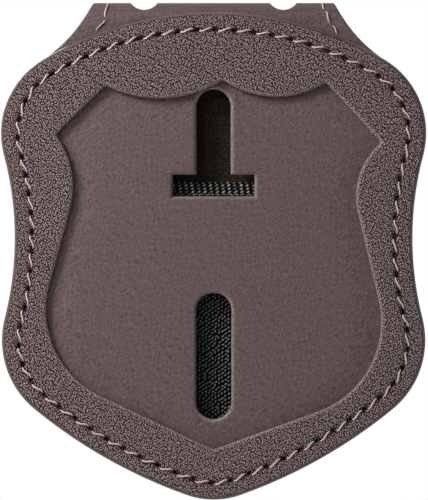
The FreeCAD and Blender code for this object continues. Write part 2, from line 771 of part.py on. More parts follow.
# Middle of the fold: leather and lining that bend between front and flap, notched for a neck chain.
notches = []
for side in (LEFT, RIGHT):
    notch = doc.addObject("Part::Cylinder", "chain_notch_%d" % len(notches))
    notch.setExpression("Radius", "dims.chain_notch_radius")
    notch.setExpression("Height", front_to_back)
    notch_z = fold_z + size("fold_outer_radius") + size("chain_notch_radius") - size("chain_notch_depth")
    notch_front = Vector(side * size("chain_notch_x"), frame_y, notch_z)
    notch.Placement = FreeCAD.Placement(notch_front, FreeCAD.Rotation(Vector(1, 0, 0), -90))
    notches.append(notch)
chain_notches = group("chain_notches", notches)
fold_leather_sheet = folded_sheet(
    "fold_leather", fold_strip_section("fold_leather_section", "fold_outer_radius", "fold_inner_radius"))
fold_leather = cut("fold_leather", fold_leather_sheet, chain_notches)
fold_lining_sheet = folded_sheet(
    "fold_lining", fold_strip_section("fold_lining_section", "fold_inner_radius", "fold_lining_radius"))
fold_lining = cut("fold_lining", fold_lining_sheet, chain_notches)

# Rivet holes through the flap, and the tools that cut them.


def rivet_places():
    """Middle of each rivet, on the side of the clip where the belt runs."""
    drop = -size("rivet_drop")
    return [Vector(side * size("rivet_half_spacing"), belt_side_y, drop) for side in (LEFT, RIGHT)]


def cross_cylinder(label, diameter, length, place):
    """A cylinder along Y that starts at a place and runs towards the back."""
    cylinder = doc.addObject("Part::Cylinder", label)
    cylinder.setExpression("Radius", "(%s) / 2" % diameter)
    cylinder.setExpression("Height", length)
    cylinder.Placement = FreeCAD.Placement(place, FreeCAD.Rotation(Vector(1, 0, 0), -90))
    return cylinder


hole_length = "2 * derived.fold_outer_radius"
hole_drills = []
for number, place in enumerate(rivet_places(), start=1):
    start = Vector(place.x, fold_y, place.z)
    drill = cross_cylinder("hole_drill_%d" % number, "derived.rivet_hole_diameter", hole_length, start)
    hole_drills.append(drill)
rivet_drills = group("rivet_drills", hole_drills)

# Flap: smooth outer leather, a stiffener board and a lining, all drilled for the rivets.
cover_sheet = folded_sheet(
    "flap_cover", hanging_section("flap_cover_section", "fold_outer_radius", "fold_inner_radius", RIGHT))
flap_cover = cut("flap_cover", cover_sheet, rivet_drills)
flap_lining_sheet = folded_sheet(
    "flap_lining", hanging_section(
        "flap_lining_section", "fold_inner_radius", "fold_lining_radius", RIGHT, size("stiffener_thickness")))
flap_lining = cut("flap_lining", flap_lining_sheet, rivet_drills)
board = box("stiffener_board", cell("sheet_width"), "dims.stiffener_thickness",
            cell("board_height"),
            Vector(-size("sheet_width") / 2, stiffener_y, level(-TRIM)))
stiffener_sheet = common("stiffener_trimmed", board, strap_block)
flap_stiffener = cut("flap_stiffener", stiffener_sheet, rivet_drills)


# Hook and loop patches: woven tape with a plain selvedge, and a raised field of hooks or loops inside it.


def tape_patch(label, base_y, field_y):
    """A patch of tape whose base and field are given by the depth of their front faces."""
    bottom = level(size("patch_bottom_height"))
    base = box(label + "_base", cell("patch_width"), "dims.tape_base_thickness", cell("patch_length"),
               Vector(-size("patch_width") / 2, base_y, bottom))
    field = box(label + "_field", cell("field_width"), "dims.tape_field_thickness", cell("field_length"),
                Vector(-size("field_width") / 2, field_y, bottom + size("patch_selvedge")))
    return fuse(label + "_whole", base, field)


loop_whole = tape_patch("loop_patch", loop_y, loop_y + size("tape_base_thickness"))
loop_patch = cut("loop_patch", loop_whole, slot_plug)
hook_patch = tape_patch("hook_patch", hook_y + size("tape_field_thickness"), hook_y)
hook_patch.Label = "hook_patch"

# Belt clip: one strip of spring steel, bent over at the top. The bend is split at its top, so that the
# base stays on the flap and the arm can spring open about the outside of the bend.


def origin_plane(body, role):
    return next(feature for feature in body.Origin.OriginFeatures if feature.Role == role)


def body_sketch(body, label, role, curves):
    """A sketch on one of the origin planes of its own body."""
    sketch = body.newObject("Sketcher::SketchObject", label)
    sketch.AttachmentSupport = (origin_plane(body, role), [""])
    sketch.MapMode = "FlatFace"
    sketch.addGeometry(curves, False)
    return sketch


def strip_pad(body, label, sketch):
    pad = body.newObject("PartDesign::Pad", label)
    pad.Profile = sketch
    pad.SideType = "Symmetric"
    pad.setExpression("Length", "dims.clip_width")
    return pad


def drill_through(body, label, diameter):
    """Round holes through the strip at both rivets."""
    circles = []
    for place in rivet_places():
        circles.append(Part.Circle(Vector(place.x, place.z, 0), Vector(0, 0, 1), size(diameter) / 2))
    sketch = body_sketch(body, label + "_places", "XZ_Plane", circles)
    for number in range(len(circles)):
        bind(sketch, Sketcher.Constraint("Radius", number, size(diameter) / 2), cell(diameter) + " / 2")
    holes = body.newObject("PartDesign::Pocket", label)
    holes.Profile = sketch
    holes.Type = "ThroughAll"
    holes.SideType = "Symmetric"
    return holes


def round_lower_corners(body, label, base):
    """Rounds the two lower corners of a strip, where its outline is square."""
    doc.recompute()
    bounds = base.Shape.BoundBox
    lowest = bounds.ZMin + 2 * size("clip_thickness")
    names = []
    for number, edge in enumerate(base.Shape.Edges, start=1):
        box_of_edge = edge.BoundBox
        at_side = abs(abs(box_of_edge.Center.x) - size("clip_width") / 2) < TOUCHING
        crosses = abs(edge.Length - size("clip_thickness")) < TOUCHING
        if at_side and crosses and box_of_edge.ZMax < lowest:
            names.append("Edge%d" % number)
    fillet = body.newObject("PartDesign::Fillet", label)
    fillet.Base = (base, names)
    fillet.setExpression("Radius", "dims.clip_corner_radius")
    return fillet


def clip_bend_arc(radius, first_angle, last_angle):
    circle = Part.Circle(Vector(0, -size("belt_gap") / 2, 0), Vector(0, 0, 1), radius)
    return Part.ArcOfCircle(circle, math.radians(first_angle), math.radians(last_angle))


def clip_base_curves():
    """Side view of the base, with its half of the bend."""
    inner = size("belt_gap") / 2
    outer = inner + size("clip_thickness")
    bottom = -inner - size("clip_base_length")
    return [
        clip_bend_arc(outer, 90, 180),
        Part.LineSegment(Vector(-outer, -inner, 0), Vector(-outer, bottom, 0)),
        Part.LineSegment(Vector(-outer, bottom, 0), Vector(-inner, bottom, 0)),
        Part.LineSegment(Vector(-inner, bottom, 0), Vector(-inner, -inner, 0)),
        clip_bend_arc(inner, 90, 180),
        Part.LineSegment(Vector(0, 0, 0), Vector(0, outer - inner, 0)),
    ]


def bind_clip_bend(sketch, outer_arc, inner_arc):
    """Ties both arcs of the bend to the belt gap and to the steel's thickness."""
    half_gap = size("belt_gap") / 2
    outer = half_gap + size("clip_thickness")
    bind(sketch, Sketcher.Constraint("Radius", outer_arc, outer), "dims.belt_gap / 2 + dims.clip_thickness")
    bind(sketch, Sketcher.Constraint("Radius", inner_arc, half_gap), "dims.belt_gap / 2")
    sketch.addConstraint(Sketcher.Constraint("Coincident", outer_arc, CENTRE, inner_arc, CENTRE))
    keep_on_middle(sketch, inner_arc, CENTRE)
    bind(sketch, Sketcher.Constraint("DistanceY", inner_arc, CENTRE, *ORIGIN, half_gap), "dims.belt_gap / 2")


clip_base = doc.addObject("PartDesign::Body", "clip_base")
base_sketch = body_sketch(clip_base, "clip_base_section", "YZ_Plane", clip_base_curves())
bend_out, back, foot, face, bend_in, top_end = range(6)
bind_clip_bend(base_sketch, bend_out, bend_in)
join(base_sketch, "Coincident", (
    (back, END, foot, START), (foot, END, face, START), (bend_in, START, top_end, START),
    (top_end, END, bend_out, START)))
join(base_sketch, "Tangent", ((bend_out, END, back, START), (face, END, bend_in, END)))
base_sketch.addConstraint(Sketcher.Constraint("Horizontal", foot))
base_length = Sketcher.Constraint("DistanceY", foot, START, back, START, size("clip_base_length"))
bind(base_sketch, base_length, "dims.clip_base_length")
strip_pad(clip_base, "clip_base_strip", base_sketch)
base_drilled = drill_through(clip_base, "clip_base_holes", "rivet_hole_diameter")
round_lower_corners(clip_base, "clip_base_corners", base_drilled)


def arm_faces():
    """Side view of the arm below the bend, as the curves of its outer and of its inner face. The strip runs
    straight down, leans in towards the flap and turns out again in a lip."""
    thickness = size("clip_thickness")
    place = Vector(size("belt_gap") / 2, -size("belt_gap") / 2, 0)
    heading = -90.0
    runs = [
        (size("clip_arm_straight"), None, 0),
        (None, size("clip_arm_bend_radius"), -size("clip_arm_bend_angle")),
        (size("clip_arm_slope"), None, 0),
        (None, size("clip_lip_radius"), size("clip_lip_angle")),
        (size("clip_lip_length"), None, 0),
    ]
    outer, inner = [], []
    for length, radius, turn in runs:
        ahead = Vector(math.cos(math.radians(heading)), math.sin(math.radians(heading)), 0)
        outward = Vector(-ahead.y, ahead.x, 0)
        if length:
            end = place + ahead * length
            inner.append(Part.LineSegment(end, place))
            outer.append(Part.LineSegment(place + outward * thickness, end + outward * thickness))
        else:
            bent_out = turn > 0
            inner_radius = radius + thickness if bent_out else radius
            outer_radius = radius if bent_out else radius + thickness
            middle = place + outward * (inner_radius if bent_out else -inner_radius)
            first = math.radians(heading - 90 if bent_out else heading + 90)
            last = first + math.radians(turn)
            span = (first, last) if bent_out else (last, first)
            for faces, face_radius in ((inner, inner_radius), (outer, outer_radius)):
                faces.append(Part.ArcOfCircle(Part.Circle(middle, Vector(0, 0, 1), face_radius), *span))
            end = middle + Vector(math.cos(last), math.sin(last), 0) * inner_radius
        place = end
        heading += turn
    return outer, inner


def arm_sketch(body):
    """The arm's side view: its half of the bend, both faces and the two ends."""
    outer, inner = arm_faces()
    half_gap = size("belt_gap") / 2
    thickness = size("clip_thickness")
    curves = [clip_bend_arc(half_gap + thickness, 0, 90)] + outer
    curves.append(Part.LineSegment(outer[-1].EndPoint, inner[-1].StartPoint))
    curves += inner[::-1]
    curves.append(clip_bend_arc(half_gap, 0, 90))
    curves.append(Part.LineSegment(Vector(0, 0, 0), Vector(0, thickness, 0)))
    sketch = body_sketch(body, "clip_arm_section", "YZ_Plane", curves)
    (bend_out, straight_out, lean_out, slope_out, lip_out, tip_out, tip_end,
     tip_in, lip_in, slope_in, lean_in, straight_in, bend_in, top_end) = range(len(curves))
    bind_clip_bend(sketch, bend_out, bend_in)
    join(sketch, "Tangent", (
        (bend_out, START, straight_out, START), (straight_out, END, lean_out, END),
        (lean_out, START, slope_out, START), (slope_out, END, lip_out, START), (lip_out, END, tip_out, START),
        (tip_in, END, lip_in, END), (lip_in, START, slope_in, START), (slope_in, END, lean_in, START),
        (lean_in, END, straight_in, START), (straight_in, END, bend_in, START)))
    join(sketch, "Coincident", (
        (tip_out, END, tip_end, START), (tip_end, END, tip_in, START), (bend_in, END, top_end, START),
        (top_end, END, bend_out, END), (lean_out, CENTRE, lean_in, CENTRE),
        (lip_out, CENTRE, lip_in, CENTRE)))
    for position in (START, END):
        keep_on_middle(sketch, top_end, position)
    for line in (straight_out, straight_in):
        sketch.addConstraint(Sketcher.Constraint("Vertical", line))
    for outside, inside in ((slope_out, slope_in), (tip_out, tip_in)):
        sketch.addConstraint(Sketcher.Constraint("Parallel", outside, inside))
    sketch.addConstraint(Sketcher.Constraint("Perpendicular", tip_out, tip_end))
    for arc, name in ((lean_in, "clip_arm_bend_radius"), (lip_out, "clip_lip_radius")):
        bind(sketch, Sketcher.Constraint("Radius", arc, size(name)), cell(name))
    for arc, name in ((lean_out, "clip_arm_bend_angle"), (lip_out, "clip_lip_angle")):
        bind(sketch, Sketcher.Constraint("Angle", arc, math.radians(size(name))), cell(name) + " * 1 deg")
    for line, name in ((straight_out, "clip_arm_straight"), (slope_out, "clip_arm_slope"),
                       (tip_out, "clip_lip_length")):
        bind(sketch, Sketcher.Constraint("Distance", line, size(name)), cell(name))
    return sketch


clip_arm = doc.addObject("PartDesign::Body", "clip_arm")
strip_pad(clip_arm, "clip_arm_strip", arm_sketch(clip_arm))
arm_drilled = drill_through(clip_arm, "clip_arm_holes", "access_hole_diameter")
round_lower_corners(clip_arm, "clip_arm_corners", arm_drilled)


# Rivets that hold the clip's base to the flap, and the washers under their clinched ends.


def rivet(label, place):
    """One rivet: a shank through clip and flap, a domed head on the belt's side and a clinched front end."""
    front = Vector(place.x, flap_lining_y - size("washer_thickness") - size("clinch_thickness"), place.z)
    shank = cross_cylinder(label + "_shank", "dims.rivet_diameter", "derived.rivet_length", front)
    clinch = cross_cylinder(label + "_clinch", "dims.clinch_diameter", "dims.clinch_thickness", front)
    dome = doc.addObject("Part::Sphere", label + "_dome")
    dome.setExpression("Radius", "derived.rivet_dome_radius")
    dome.setExpression("Angle1", "asin(1 - dims.rivet_head_thickness / derived.rivet_dome_radius)")
    dome_y = belt_side_y + size("rivet_head_thickness") - size("rivet_dome_radius")
    along = FreeCAD.Rotation(Vector(1, 0, 0), -90)
    dome.Placement = FreeCAD.Placement(Vector(place.x, dome_y, place.z), along)
    return fuse(label, fuse(label + "_pin", shank, clinch), dome)


def washer(label, place):
    """A flat washer on the lining, round the shank of a rivet."""
    front = Vector(place.x, flap_lining_y - size("washer_thickness"), place.z)
    disc = cross_cylinder(label + "_disc", "dims.washer_diameter", "dims.washer_thickness", front)
    bore = cross_cylinder(label + "_bore", "derived.rivet_hole_diameter", "dims.washer_thickness", front)
    return cut(label, disc, bore)


rivets = []
washers = []
for number, place in enumerate(rivet_places(), start=1):
    rivets.append(rivet("rivet_%d" % number, place))
    washers.append(washer("washer_%d" % number, place))
clip_rivets = group("clip_rivets", rivets)
rivet_washers = group("rivet_washers", washers)


# Stitching: each stitch is the run of thread that shows between two needle holes.
thread_radius = size("thread_diameter") / 2


def stitch_runs(path):
    """Ends of the stitches along a front-view path, evenly spaced at about the seam's pitch."""
    per_stitch = 20
    count = round(path.Length / size("seam_pitch"))
    samples = path.discretize(Number=count * per_stitch + 1)
    margin = round(per_stitch * size("stitch_gap") / size("seam_pitch") / 2)
    runs = []
    for number in range(count):
        first = number * per_stitch + margin
        last = (number + 1) * per_stitch - margin
        runs.append((samples[first], samples[last]))
    return runs


def stitches(label, runs, middle_y):
    """A row of stitches as separate rods whose middle lines lie at one depth."""
    rods = []
    for start, finish in runs:
        foot = Vector(start.x, middle_y, level(start.y))
        along = Vector(finish.x - start.x, 0, finish.y - start.y)
        rods.append(Part.makeCylinder(thread_radius, along.Length, foot, along))
    row = doc.addObject("Part::Feature", label)
    row.Shape = Part.makeCompound(rods)
    return row


def below(runs, height):
    """Only the stitches that lie wholly under a height."""
    return [run for run in runs if max(run[0].y, run[1].y) < height]


def strap_seam_path():
    """Seam of the flap, from the top of the strap down one side, round the bottom and up the other."""
    outline = strap_outline()
    pieces = outline.pieces(size("seam_inset"))
    top = next(number for number, piece in enumerate(pieces)
               if piece[1] == "link" and outline.links[piece[2]][0] == "level")
    ordered = pieces[top + 1:] + pieces[:top]
    return Part.Wire([piece[0].toShape() for piece in ordered])


def patch_runs():
    """Stitches round a patch, on its selvedge, left out where the crossbar of the T crosses the top row."""
    inset = size("patch_seam_inset")
    right = size("patch_width") / 2 - inset
    top = size("patch_top_height") - inset
    bottom = size("patch_bottom_height") + inset
    corners = [Vector(x, y, 0) for x, y in ((-right, top), (-right, bottom), (right, bottom), (right, top))]
    free = size("crossbar_half_width") + size("stitch_gap")
    runs = []
    for start, finish in zip(corners, corners[1:] + corners[:1]):
        side = Part.Wire([Part.LineSegment(start, finish).toShape()])
        for run in stitch_runs(side):
            on_top_row = start.y == finish.y == top
            if not (on_top_row and min(abs(run[0].x), abs(run[1].x)) < free):
                runs.append(run)
    return runs


frame_runs = stitch_runs(frame_outline().wire(size("seam_inset")))
flap_runs = stitch_runs(strap_seam_path())
frame_seam_thread = stitches(
    "frame_seam_thread", frame_runs, frame_y + size("seam_channel_depth") - thread_radius)
frame_seam_bobbin_thread = stitches("frame_seam_bobbin_thread", frame_runs, loop_y + thread_radius)
flap_seam_thread = stitches("flap_seam_thread", below(flap_runs, size("fold_height")), clip_y + thread_radius)
flap_seam_bobbin_thread = stitches(
    "flap_seam_bobbin_thread", below(flap_runs, size("stiffener_top_height")), flap_lining_y - thread_radius)
loop_patch_thread = stitches(
    "loop_patch_thread", patch_runs(), loop_y + size("tape_base_thickness") + thread_radius)
hook_patch_thread = stitches(
    "hook_patch_thread", patch_runs(), flap_lining_y - size("tape_base_thickness") - thread_radius)


def strap_runs():
    """The stitch on each side of the strap that shows between the frame and the fold."""
    outline = strap_outline()
    hollow = next(piece[0] for piece in outline.pieces(size("seam_inset"))
                  if piece[1] == "link" and outline.links[piece[2]] == STRAP_HOLLOW)
    top = point_on_circle(hollow.Center, hollow.Radius, size("fold_height") - size("stitch_gap") / 2)
    frame_edge = size("frame_height") - size("top_radius") + math.sqrt(size("top_radius") ** 2 - top.x ** 2)
    bottom = point_on_circle(hollow.Center, hollow.Radius, frame_edge + size("stitch_gap") / 4)
    return [[Vector(side * end.x, end.y, 0) for end in (top, bottom)] for side in (LEFT, RIGHT)]


strap_seam_thread = stitches("strap_seam_thread", strap_runs(), panel_y - thread_radius)


def fold_stitches():
    """Two stitches on each side of the strap that follow the bend of the fold."""
    run = size("fold_split_angle") - 2 * math.degrees(size("stitch_gap") / 2 / size("fold_outer_radius"))
    half_gap = math.degrees(size("stitch_gap") / 2 / size("fold_outer_radius"))
    result = []
    for side in (LEFT, RIGHT):
        middle = Vector(side * abs(strap_runs()[0][0].x), fold_y, fold_z)
        for first in (90 - half_gap - run, 90 + half_gap):
            bow = doc.addObject("Part::Torus", "fold_stitch_%d" % len(result))
            bow.setExpression("Radius1", "derived.fold_outer_radius + dims.thread_diameter / 2")
            bow.setExpression("Radius2", "dims.thread_diameter / 2")
            bow.Angle3 = run
            upright = FreeCAD.Rotation(Vector(1, 1, 1), 120)
            turned = upright.multiply(FreeCAD.Rotation(Vector(0, 0, 1), first))
            bow.Placement = FreeCAD.Placement(middle, turned)
            result.append(bow)
    return result


fold_seam_thread = group("fold_seam_thread", fold_stitches())

NODES = [
    front_frame, recess_panel, front_lining, loop_patch, frame_seam_thread, frame_seam_bobbin_thread,
    loop_patch_thread, strap_seam_thread, fold_leather, fold_lining, fold_seam_thread, flap_cover,
    flap_stiffener, flap_lining, hook_patch, flap_seam_thread, flap_seam_bobbin_thread, hook_patch_thread,
    clip_base, clip_rivets, rivet_washers, clip_arm,
]

doc.recompute()
for item in doc.Objects:
    if "Invalid" in item.State or "Error" in item.State:
        raise RuntimeError("%s failed: %s" % (item.Label, item.State))
for node in NODES:
    if node.Shape.isNull() or not node.Shape.isValid():
        raise RuntimeError("%s has no valid shape" % node.Label)
os.makedirs("parts", exist_ok=True)
for node in NODES:
    node.Shape.exportStep("parts/%s.step" % node.Label)
    print(node.Label, len(node.Shape.Solids), round(node.Shape.Volume, 1))
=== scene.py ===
import math
import random

import bmesh
import bpy
import numpy as np
from mathutils import Matrix, Vector, kdtree


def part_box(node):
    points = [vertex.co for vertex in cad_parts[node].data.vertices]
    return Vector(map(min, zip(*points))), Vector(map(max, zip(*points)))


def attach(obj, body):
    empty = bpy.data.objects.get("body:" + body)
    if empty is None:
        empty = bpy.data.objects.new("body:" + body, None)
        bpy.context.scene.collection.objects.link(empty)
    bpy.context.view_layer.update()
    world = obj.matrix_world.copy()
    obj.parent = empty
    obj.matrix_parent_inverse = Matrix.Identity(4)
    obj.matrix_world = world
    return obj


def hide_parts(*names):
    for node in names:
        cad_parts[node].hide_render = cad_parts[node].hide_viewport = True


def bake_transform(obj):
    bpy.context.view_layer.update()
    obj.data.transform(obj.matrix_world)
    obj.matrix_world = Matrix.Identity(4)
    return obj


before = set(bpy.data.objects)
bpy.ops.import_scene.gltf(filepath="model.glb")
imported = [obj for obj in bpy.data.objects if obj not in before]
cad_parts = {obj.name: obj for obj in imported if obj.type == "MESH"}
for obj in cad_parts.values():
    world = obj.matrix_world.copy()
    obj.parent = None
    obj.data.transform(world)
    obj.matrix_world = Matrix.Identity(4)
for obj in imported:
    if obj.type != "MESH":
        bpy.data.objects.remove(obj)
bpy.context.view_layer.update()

# Front frame.
# The shield-shaped frame round the badge: cowhide printed with a pebble grain, die-cut with its
# window, its edges rubbed round. It is sewn to the leather behind it, and the needle has left a
# pressed hole between each two stitches of the pressed seam, painted dark as shade.
MM = 0.001
SAME_POINT = 0.001 * MM


def only(piece):
    """Selects one piece alone and makes it active."""
    bpy.ops.object.select_all(action="DESELECT")
    piece.select_set(True)
    bpy.context.view_layer.objects.active = piece


def merged_copy(title, *node_names):
    """One new piece from copies of CAD nodes' meshes, their loose triangles merged."""
    bpy.ops.object.select_all(action="DESELECT")
    for name in node_names:
        piece = bpy.data.objects.new(title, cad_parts[name].data.copy())
        bpy.context.collection.objects.link(piece)
        piece.select_set(True)
    bpy.context.view_layer.objects.active = piece
    if len(node_names) > 1:
        bpy.ops.object.join()
        piece.name = title
    bpy.ops.mesh.customdata_custom_splitnormals_clear()
    bpy.ops.object.mode_set(mode="EDIT")
    bpy.ops.mesh.select_all(action="SELECT")
    bpy.ops.mesh.remove_doubles(threshold=SAME_POINT)
    bpy.ops.object.mode_set(mode="OBJECT")
    piece.data.materials.clear()
    return piece


EDGE_SPACING = 0.2 * MM
SAME_PLANE = 0.005 * MM
LEVEL = 0.9


def cut_edges(piece, depth):
    """Closely spaced points along a flat piece's cut edges in one plane."""
    shape = bmesh.new()
    shape.from_mesh(piece.data)
    spots = []
    for edge in shape.edges:
        in_plane = all(abs(point.co.y - depth) < SAME_PLANE for point in edge.verts)
        if in_plane and len(edge.link_faces) == 2:
            level = [abs(face.normal.y) > LEVEL for face in edge.link_faces]
            if level[0] != level[1]:
                first, last = (point.co for point in edge.verts)
                steps = max(1, round((last - first).length / EDGE_SPACING))
                spots += [first.lerp(last, step / steps) for step in range(steps)]
    shape.free()
    return spots


def worked(piece, kind, **settings):
    """Shapes a piece with one modifier and applies it."""
    only(piece)
    modifier = piece.modifiers.new(kind.lower(), kind)
    for name, value in settings.items():
        setattr(modifier, name, value)
    bpy.ops.object.modifier_apply(modifier=modifier.name)


FRAME_BACK_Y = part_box("front_frame")[1].y
FRAME_VOXEL = 0.33 * MM
grained_frame = merged_copy("grained_frame", "front_frame")
edge_points = cut_edges(grained_frame, FRAME_BACK_Y)
worked(grained_frame, "REMESH", mode="VOXEL", voxel_size=FRAME_VOXEL, use_smooth_shade=True)
worked(grained_frame, "SMOOTH", factor=0.5, iterations=3)


def points_of(piece):
    """A piece's points as rows of x, y, z."""
    flat = np.empty(len(piece.data.vertices) * 3)
    piece.data.vertices.foreach_get("co", flat)
    return flat.reshape(-1, 3)


def move_points(piece, points):
    """Puts a piece's points in new places."""
    piece.data.vertices.foreach_set("co", points.ravel())
    piece.data.update()


def nearest_finder(spots):
    """A tree of points that finds the nearest one quickly."""
    tree = kdtree.KDTree(len(spots))
    for number, spot in enumerate(spots):
        tree.insert((spot[0], 0, spot[2]), number)
    tree.balance()
    return tree


def reach(tree, points):
    """Front-view distance of each point from the nearest point of a tree."""
    return np.array([tree.find((x, 0, z))[2] for x, y, z in points])


FRAME_MIDDLE_Z = -40 * MM
JUST_OUTSIDE = 1.04
IN_FRONT_Y = -100 * MM


def is_outer(spot):
    """Whether the frame ends just outside a point of its edges, seen from its middle."""
    x = spot.x * JUST_OUTSIDE
    z = FRAME_MIDDLE_Z + (spot.z - FRAME_MIDDLE_Z) * JUST_OUTSIDE
    return not grained_frame.ray_cast((x, IN_FRONT_Y, z), (0, 1, 0))[0]


def rubbed_edge(edges, width, share):
    """Rounds the front of the frame's edges over a width, down by a share of its thickness."""
    points = points_of(grained_frame)
    near = np.clip(1 - reach(edges, points) / width, 0, 1)
    thinned = 1 - share * (1 - np.sqrt(1 - near ** 2))
    points[:, 1] = FRAME_BACK_Y + (points[:, 1] - FRAME_BACK_Y) * thinned
    move_points(grained_frame, points)


OUTER_RUBBED = 0.9 * MM
OUTER_DROP = 0.3
WINDOW_RUBBED = 0.85 * MM
WINDOW_DROP = 0.45
outer_edges = nearest_finder([spot for spot in edge_points if is_outer(spot)])
window_edges = nearest_finder([spot for spot in edge_points if not is_outer(spot)])
rubbed_edge(outer_edges, OUTER_RUBBED, OUTER_DROP)
rubbed_edge(window_edges, WINDOW_RUBBED, WINDOW_DROP)


def stitch_runs(node_name):
    """Middle, direction and length of each stitch of a CAD row of stitches."""
    merged_copy("row", node_name)
    bpy.ops.mesh.separate(type="LOOSE")
    runs = []
    for rod in list(bpy.context.selected_objects):
        points = points_of(rod)
        middle = points.mean(0)
        along = np.linalg.svd(points - middle, full_matrices=False)[2][0]
        runs.append((Vector(middle), Vector(along), float(np.ptp((points - middle) @ along))))
        bpy.data.objects.remove(rod)
    return runs


SEAM_PITCH = 4.0 * MM
HOLES_APART = 1.5 * MM


def needle_holes(runs):
    """Place and seam direction of the hole at each end of the stitches, each hole once."""
    holes = []
    for middle, along, length in runs:
        for side in (-1, 1):
            spot = middle + along * side * SEAM_PITCH / 2
            if all((spot - other).length > HOLES_APART for other, direction in holes):
                holes.append((spot, along))
    return holes


def mark(piece, title, values):
    """Stores one number for each point, for a material to read."""
    piece.data.attributes.new(title, "FLOAT", "POINT").data.foreach_set("value", values)


PRESSED_ROUND = 1.1 * MM
PRESSED_SKIN = 0.9 * MM
FACING = 0.3
HOLE_SHADE_GAIN = 2.4
HOLE_SHADE_OFFSET = 0.5


def pierce(piece, holes, outward, half_length, half_width, depth):
    """Presses needle holes into the face of a piece that looks outward along y, marked for painted
    shade.
    """
    tree = nearest_finder([spot for spot, along in holes])
    only(piece)
    for face in piece.data.polygons:
        near = tree.find((face.center.x, 0, face.center.z))[2] < PRESSED_ROUND
        face.select = near and face.normal.y * outward > FACING
    bpy.ops.object.mode_set(mode="EDIT")
    bpy.ops.mesh.subdivide(number_cuts=1)
    bpy.ops.object.mode_set(mode="OBJECT")
    points = points_of(piece)
    face_depth = points[:, 1].max() if outward > 0 else points[:, 1].min()
    depths = np.zeros(len(points))
    for index, (x, y, z) in enumerate(points):
        if abs(y - face_depth) < PRESSED_SKIN:
            spot, along = holes[tree.find((x, 0, z))[1]]
            offset = Vector((x - spot.x, 0, z - spot.z))
            on_seam = offset.dot(along)
            off_seam = (offset - along * on_seam).length
            depths[index] = math.exp(-((on_seam / half_length) ** 2 + (off_seam / half_width) ** 2))
    points[:, 1] -= outward * depth * depths
    move_points(piece, points)
    mark(piece, "hole_shade", np.clip(depths * HOLE_SHADE_GAIN - HOLE_SHADE_OFFSET, 0, 1))


BARE_RIM = 0.45 * MM
WALL_FROM = 1.4
WALL_STEEPNESS = 3.2
frame_holes = needle_holes(stitch_runs("frame_seam_thread"))
pierce(grained_frame, frame_holes, -1, half_length=0.85 * MM, half_width=0.45 * MM, depth=0.7 * MM)
points = points_of(grained_frame)
rim_width = np.minimum(reach(outer_edges, points), reach(window_edges, points) + BARE_RIM)
mark(grained_frame, "edge_mm", rim_width / MM)
# Marks the window's rubbed edge, which is painted paler: partly wear, partly a painted highlight.
mark(grained_frame, "wear_and_highlight", np.clip(1 - reach(window_edges, points) / WINDOW_RUBBED, 0, 1))
slopes = np.array([abs(point.normal.y) for point in grained_frame.data.vertices])
# Marks the steep cut wall, which is painted dark: partly a dyed cut edge, partly painted shade.
mark(grained_frame, "cut", np.clip(WALL_FROM - WALL_STEEPNESS * slopes, 0, 1))


def linear(colour):
    """An sRGB hex colour as a linear one."""
    parts = [int(colour[place:place + 2], 16) / 255 for place in (1, 3, 5)]
    return [*(c / 12.92 if c <= 0.04045 else ((c + 0.055) / 1.055) ** 2.4 for c in parts), 1.0]


def add(tree, kind, inputs=None, **settings):
    """Adds a shader node with its settings; an input is a value or another node's output."""
    node = tree.nodes.new("ShaderNode" + kind)
    for name, value in settings.items():
        setattr(node, name, value)
    for name, value in (inputs or {}).items():
        if isinstance(value, bpy.types.NodeSocket):
            tree.links.new(value, node.inputs[name])
        else:
            node.inputs[name].default_value = value
    return node


def new_finish(title):
    """An empty node material, and its tree."""
    finish = bpy.data.materials.new(title)
    finish.use_nodes = True
    finish.node_tree.nodes.clear()
    return finish, finish.node_tree


# Pebble-printed cowhide: slanting domed pebbles about 0.4 by 0.5 mm. Their tops are painted pale as
# glints, and the creases between them are painted dark as shade. The outer rim is rubbed smooth, and
# the window's edge is burnished brighter and painted paler, partly as wear and partly as a painted
# highlight. The steep cut wall is dyed dark and painted darker as shade, and the needle holes are
# painted dark as shade.
pebbled_cowhide, tree = new_finish("pebbled_cowhide")
place = add(tree, "TexCoord").outputs["Object"]
parts = add(tree, "SeparateXYZ", {0: place})
flat = add(tree, "CombineXYZ", {"X": parts.outputs["X"], "Y": parts.outputs["Z"]})
wander = add(tree, "TexNoise", {"Vector": place, "Scale": 1 / (1.6 * MM), "Detail": 1.0})
shaken = add(tree, "VectorMath", {0: wander.outputs["Color"], 1: (0.2 * MM, 0.2 * MM, 0)},
             operation="MULTIPLY")
pressed = add(tree, "VectorMath", {0: flat.outputs[0], 1: shaken.outputs[0]}, operation="ADD")
printed = add(tree, "Mapping", {"Vector": pressed.outputs[0], "Rotation": (0, 0, math.radians(-28)),
                                "Scale": (1, 1.25, 1)}, vector_type="TEXTURE")
pebbles = add(tree, "TexVoronoi", {"Vector": printed.outputs[0], "Scale": 1 / (0.38 * MM),
                                   "Randomness": 0.7}, voronoi_dimensions="2D")
dome = add(tree, "Math", {0: pebbles.outputs["Distance"], 1: pebbles.outputs["Distance"]},
           operation="MULTIPLY")
pebble = add(tree, "MapRange", {"Value": dome.outputs[0], "From Min": 0.0, "From Max": 0.6,
                                "To Min": 1.0, "To Max": 0.0})
edge = add(tree, "Attribute", attribute_name="edge_mm")
inside = add(tree, "MapRange", {"Value": edge.outputs["Fac"], "From Min": 0.3, "From Max": 0.75},
             interpolation_type="SMOOTHSTEP")
grain = add(tree, "Math", {0: pebble.outputs[0], 1: inside.outputs[0]}, operation="MULTIPLY")
hide_tone = add(tree, "TexNoise", {"Vector": place, "Scale": 1 / (6 * MM), "Detail": 3.0})
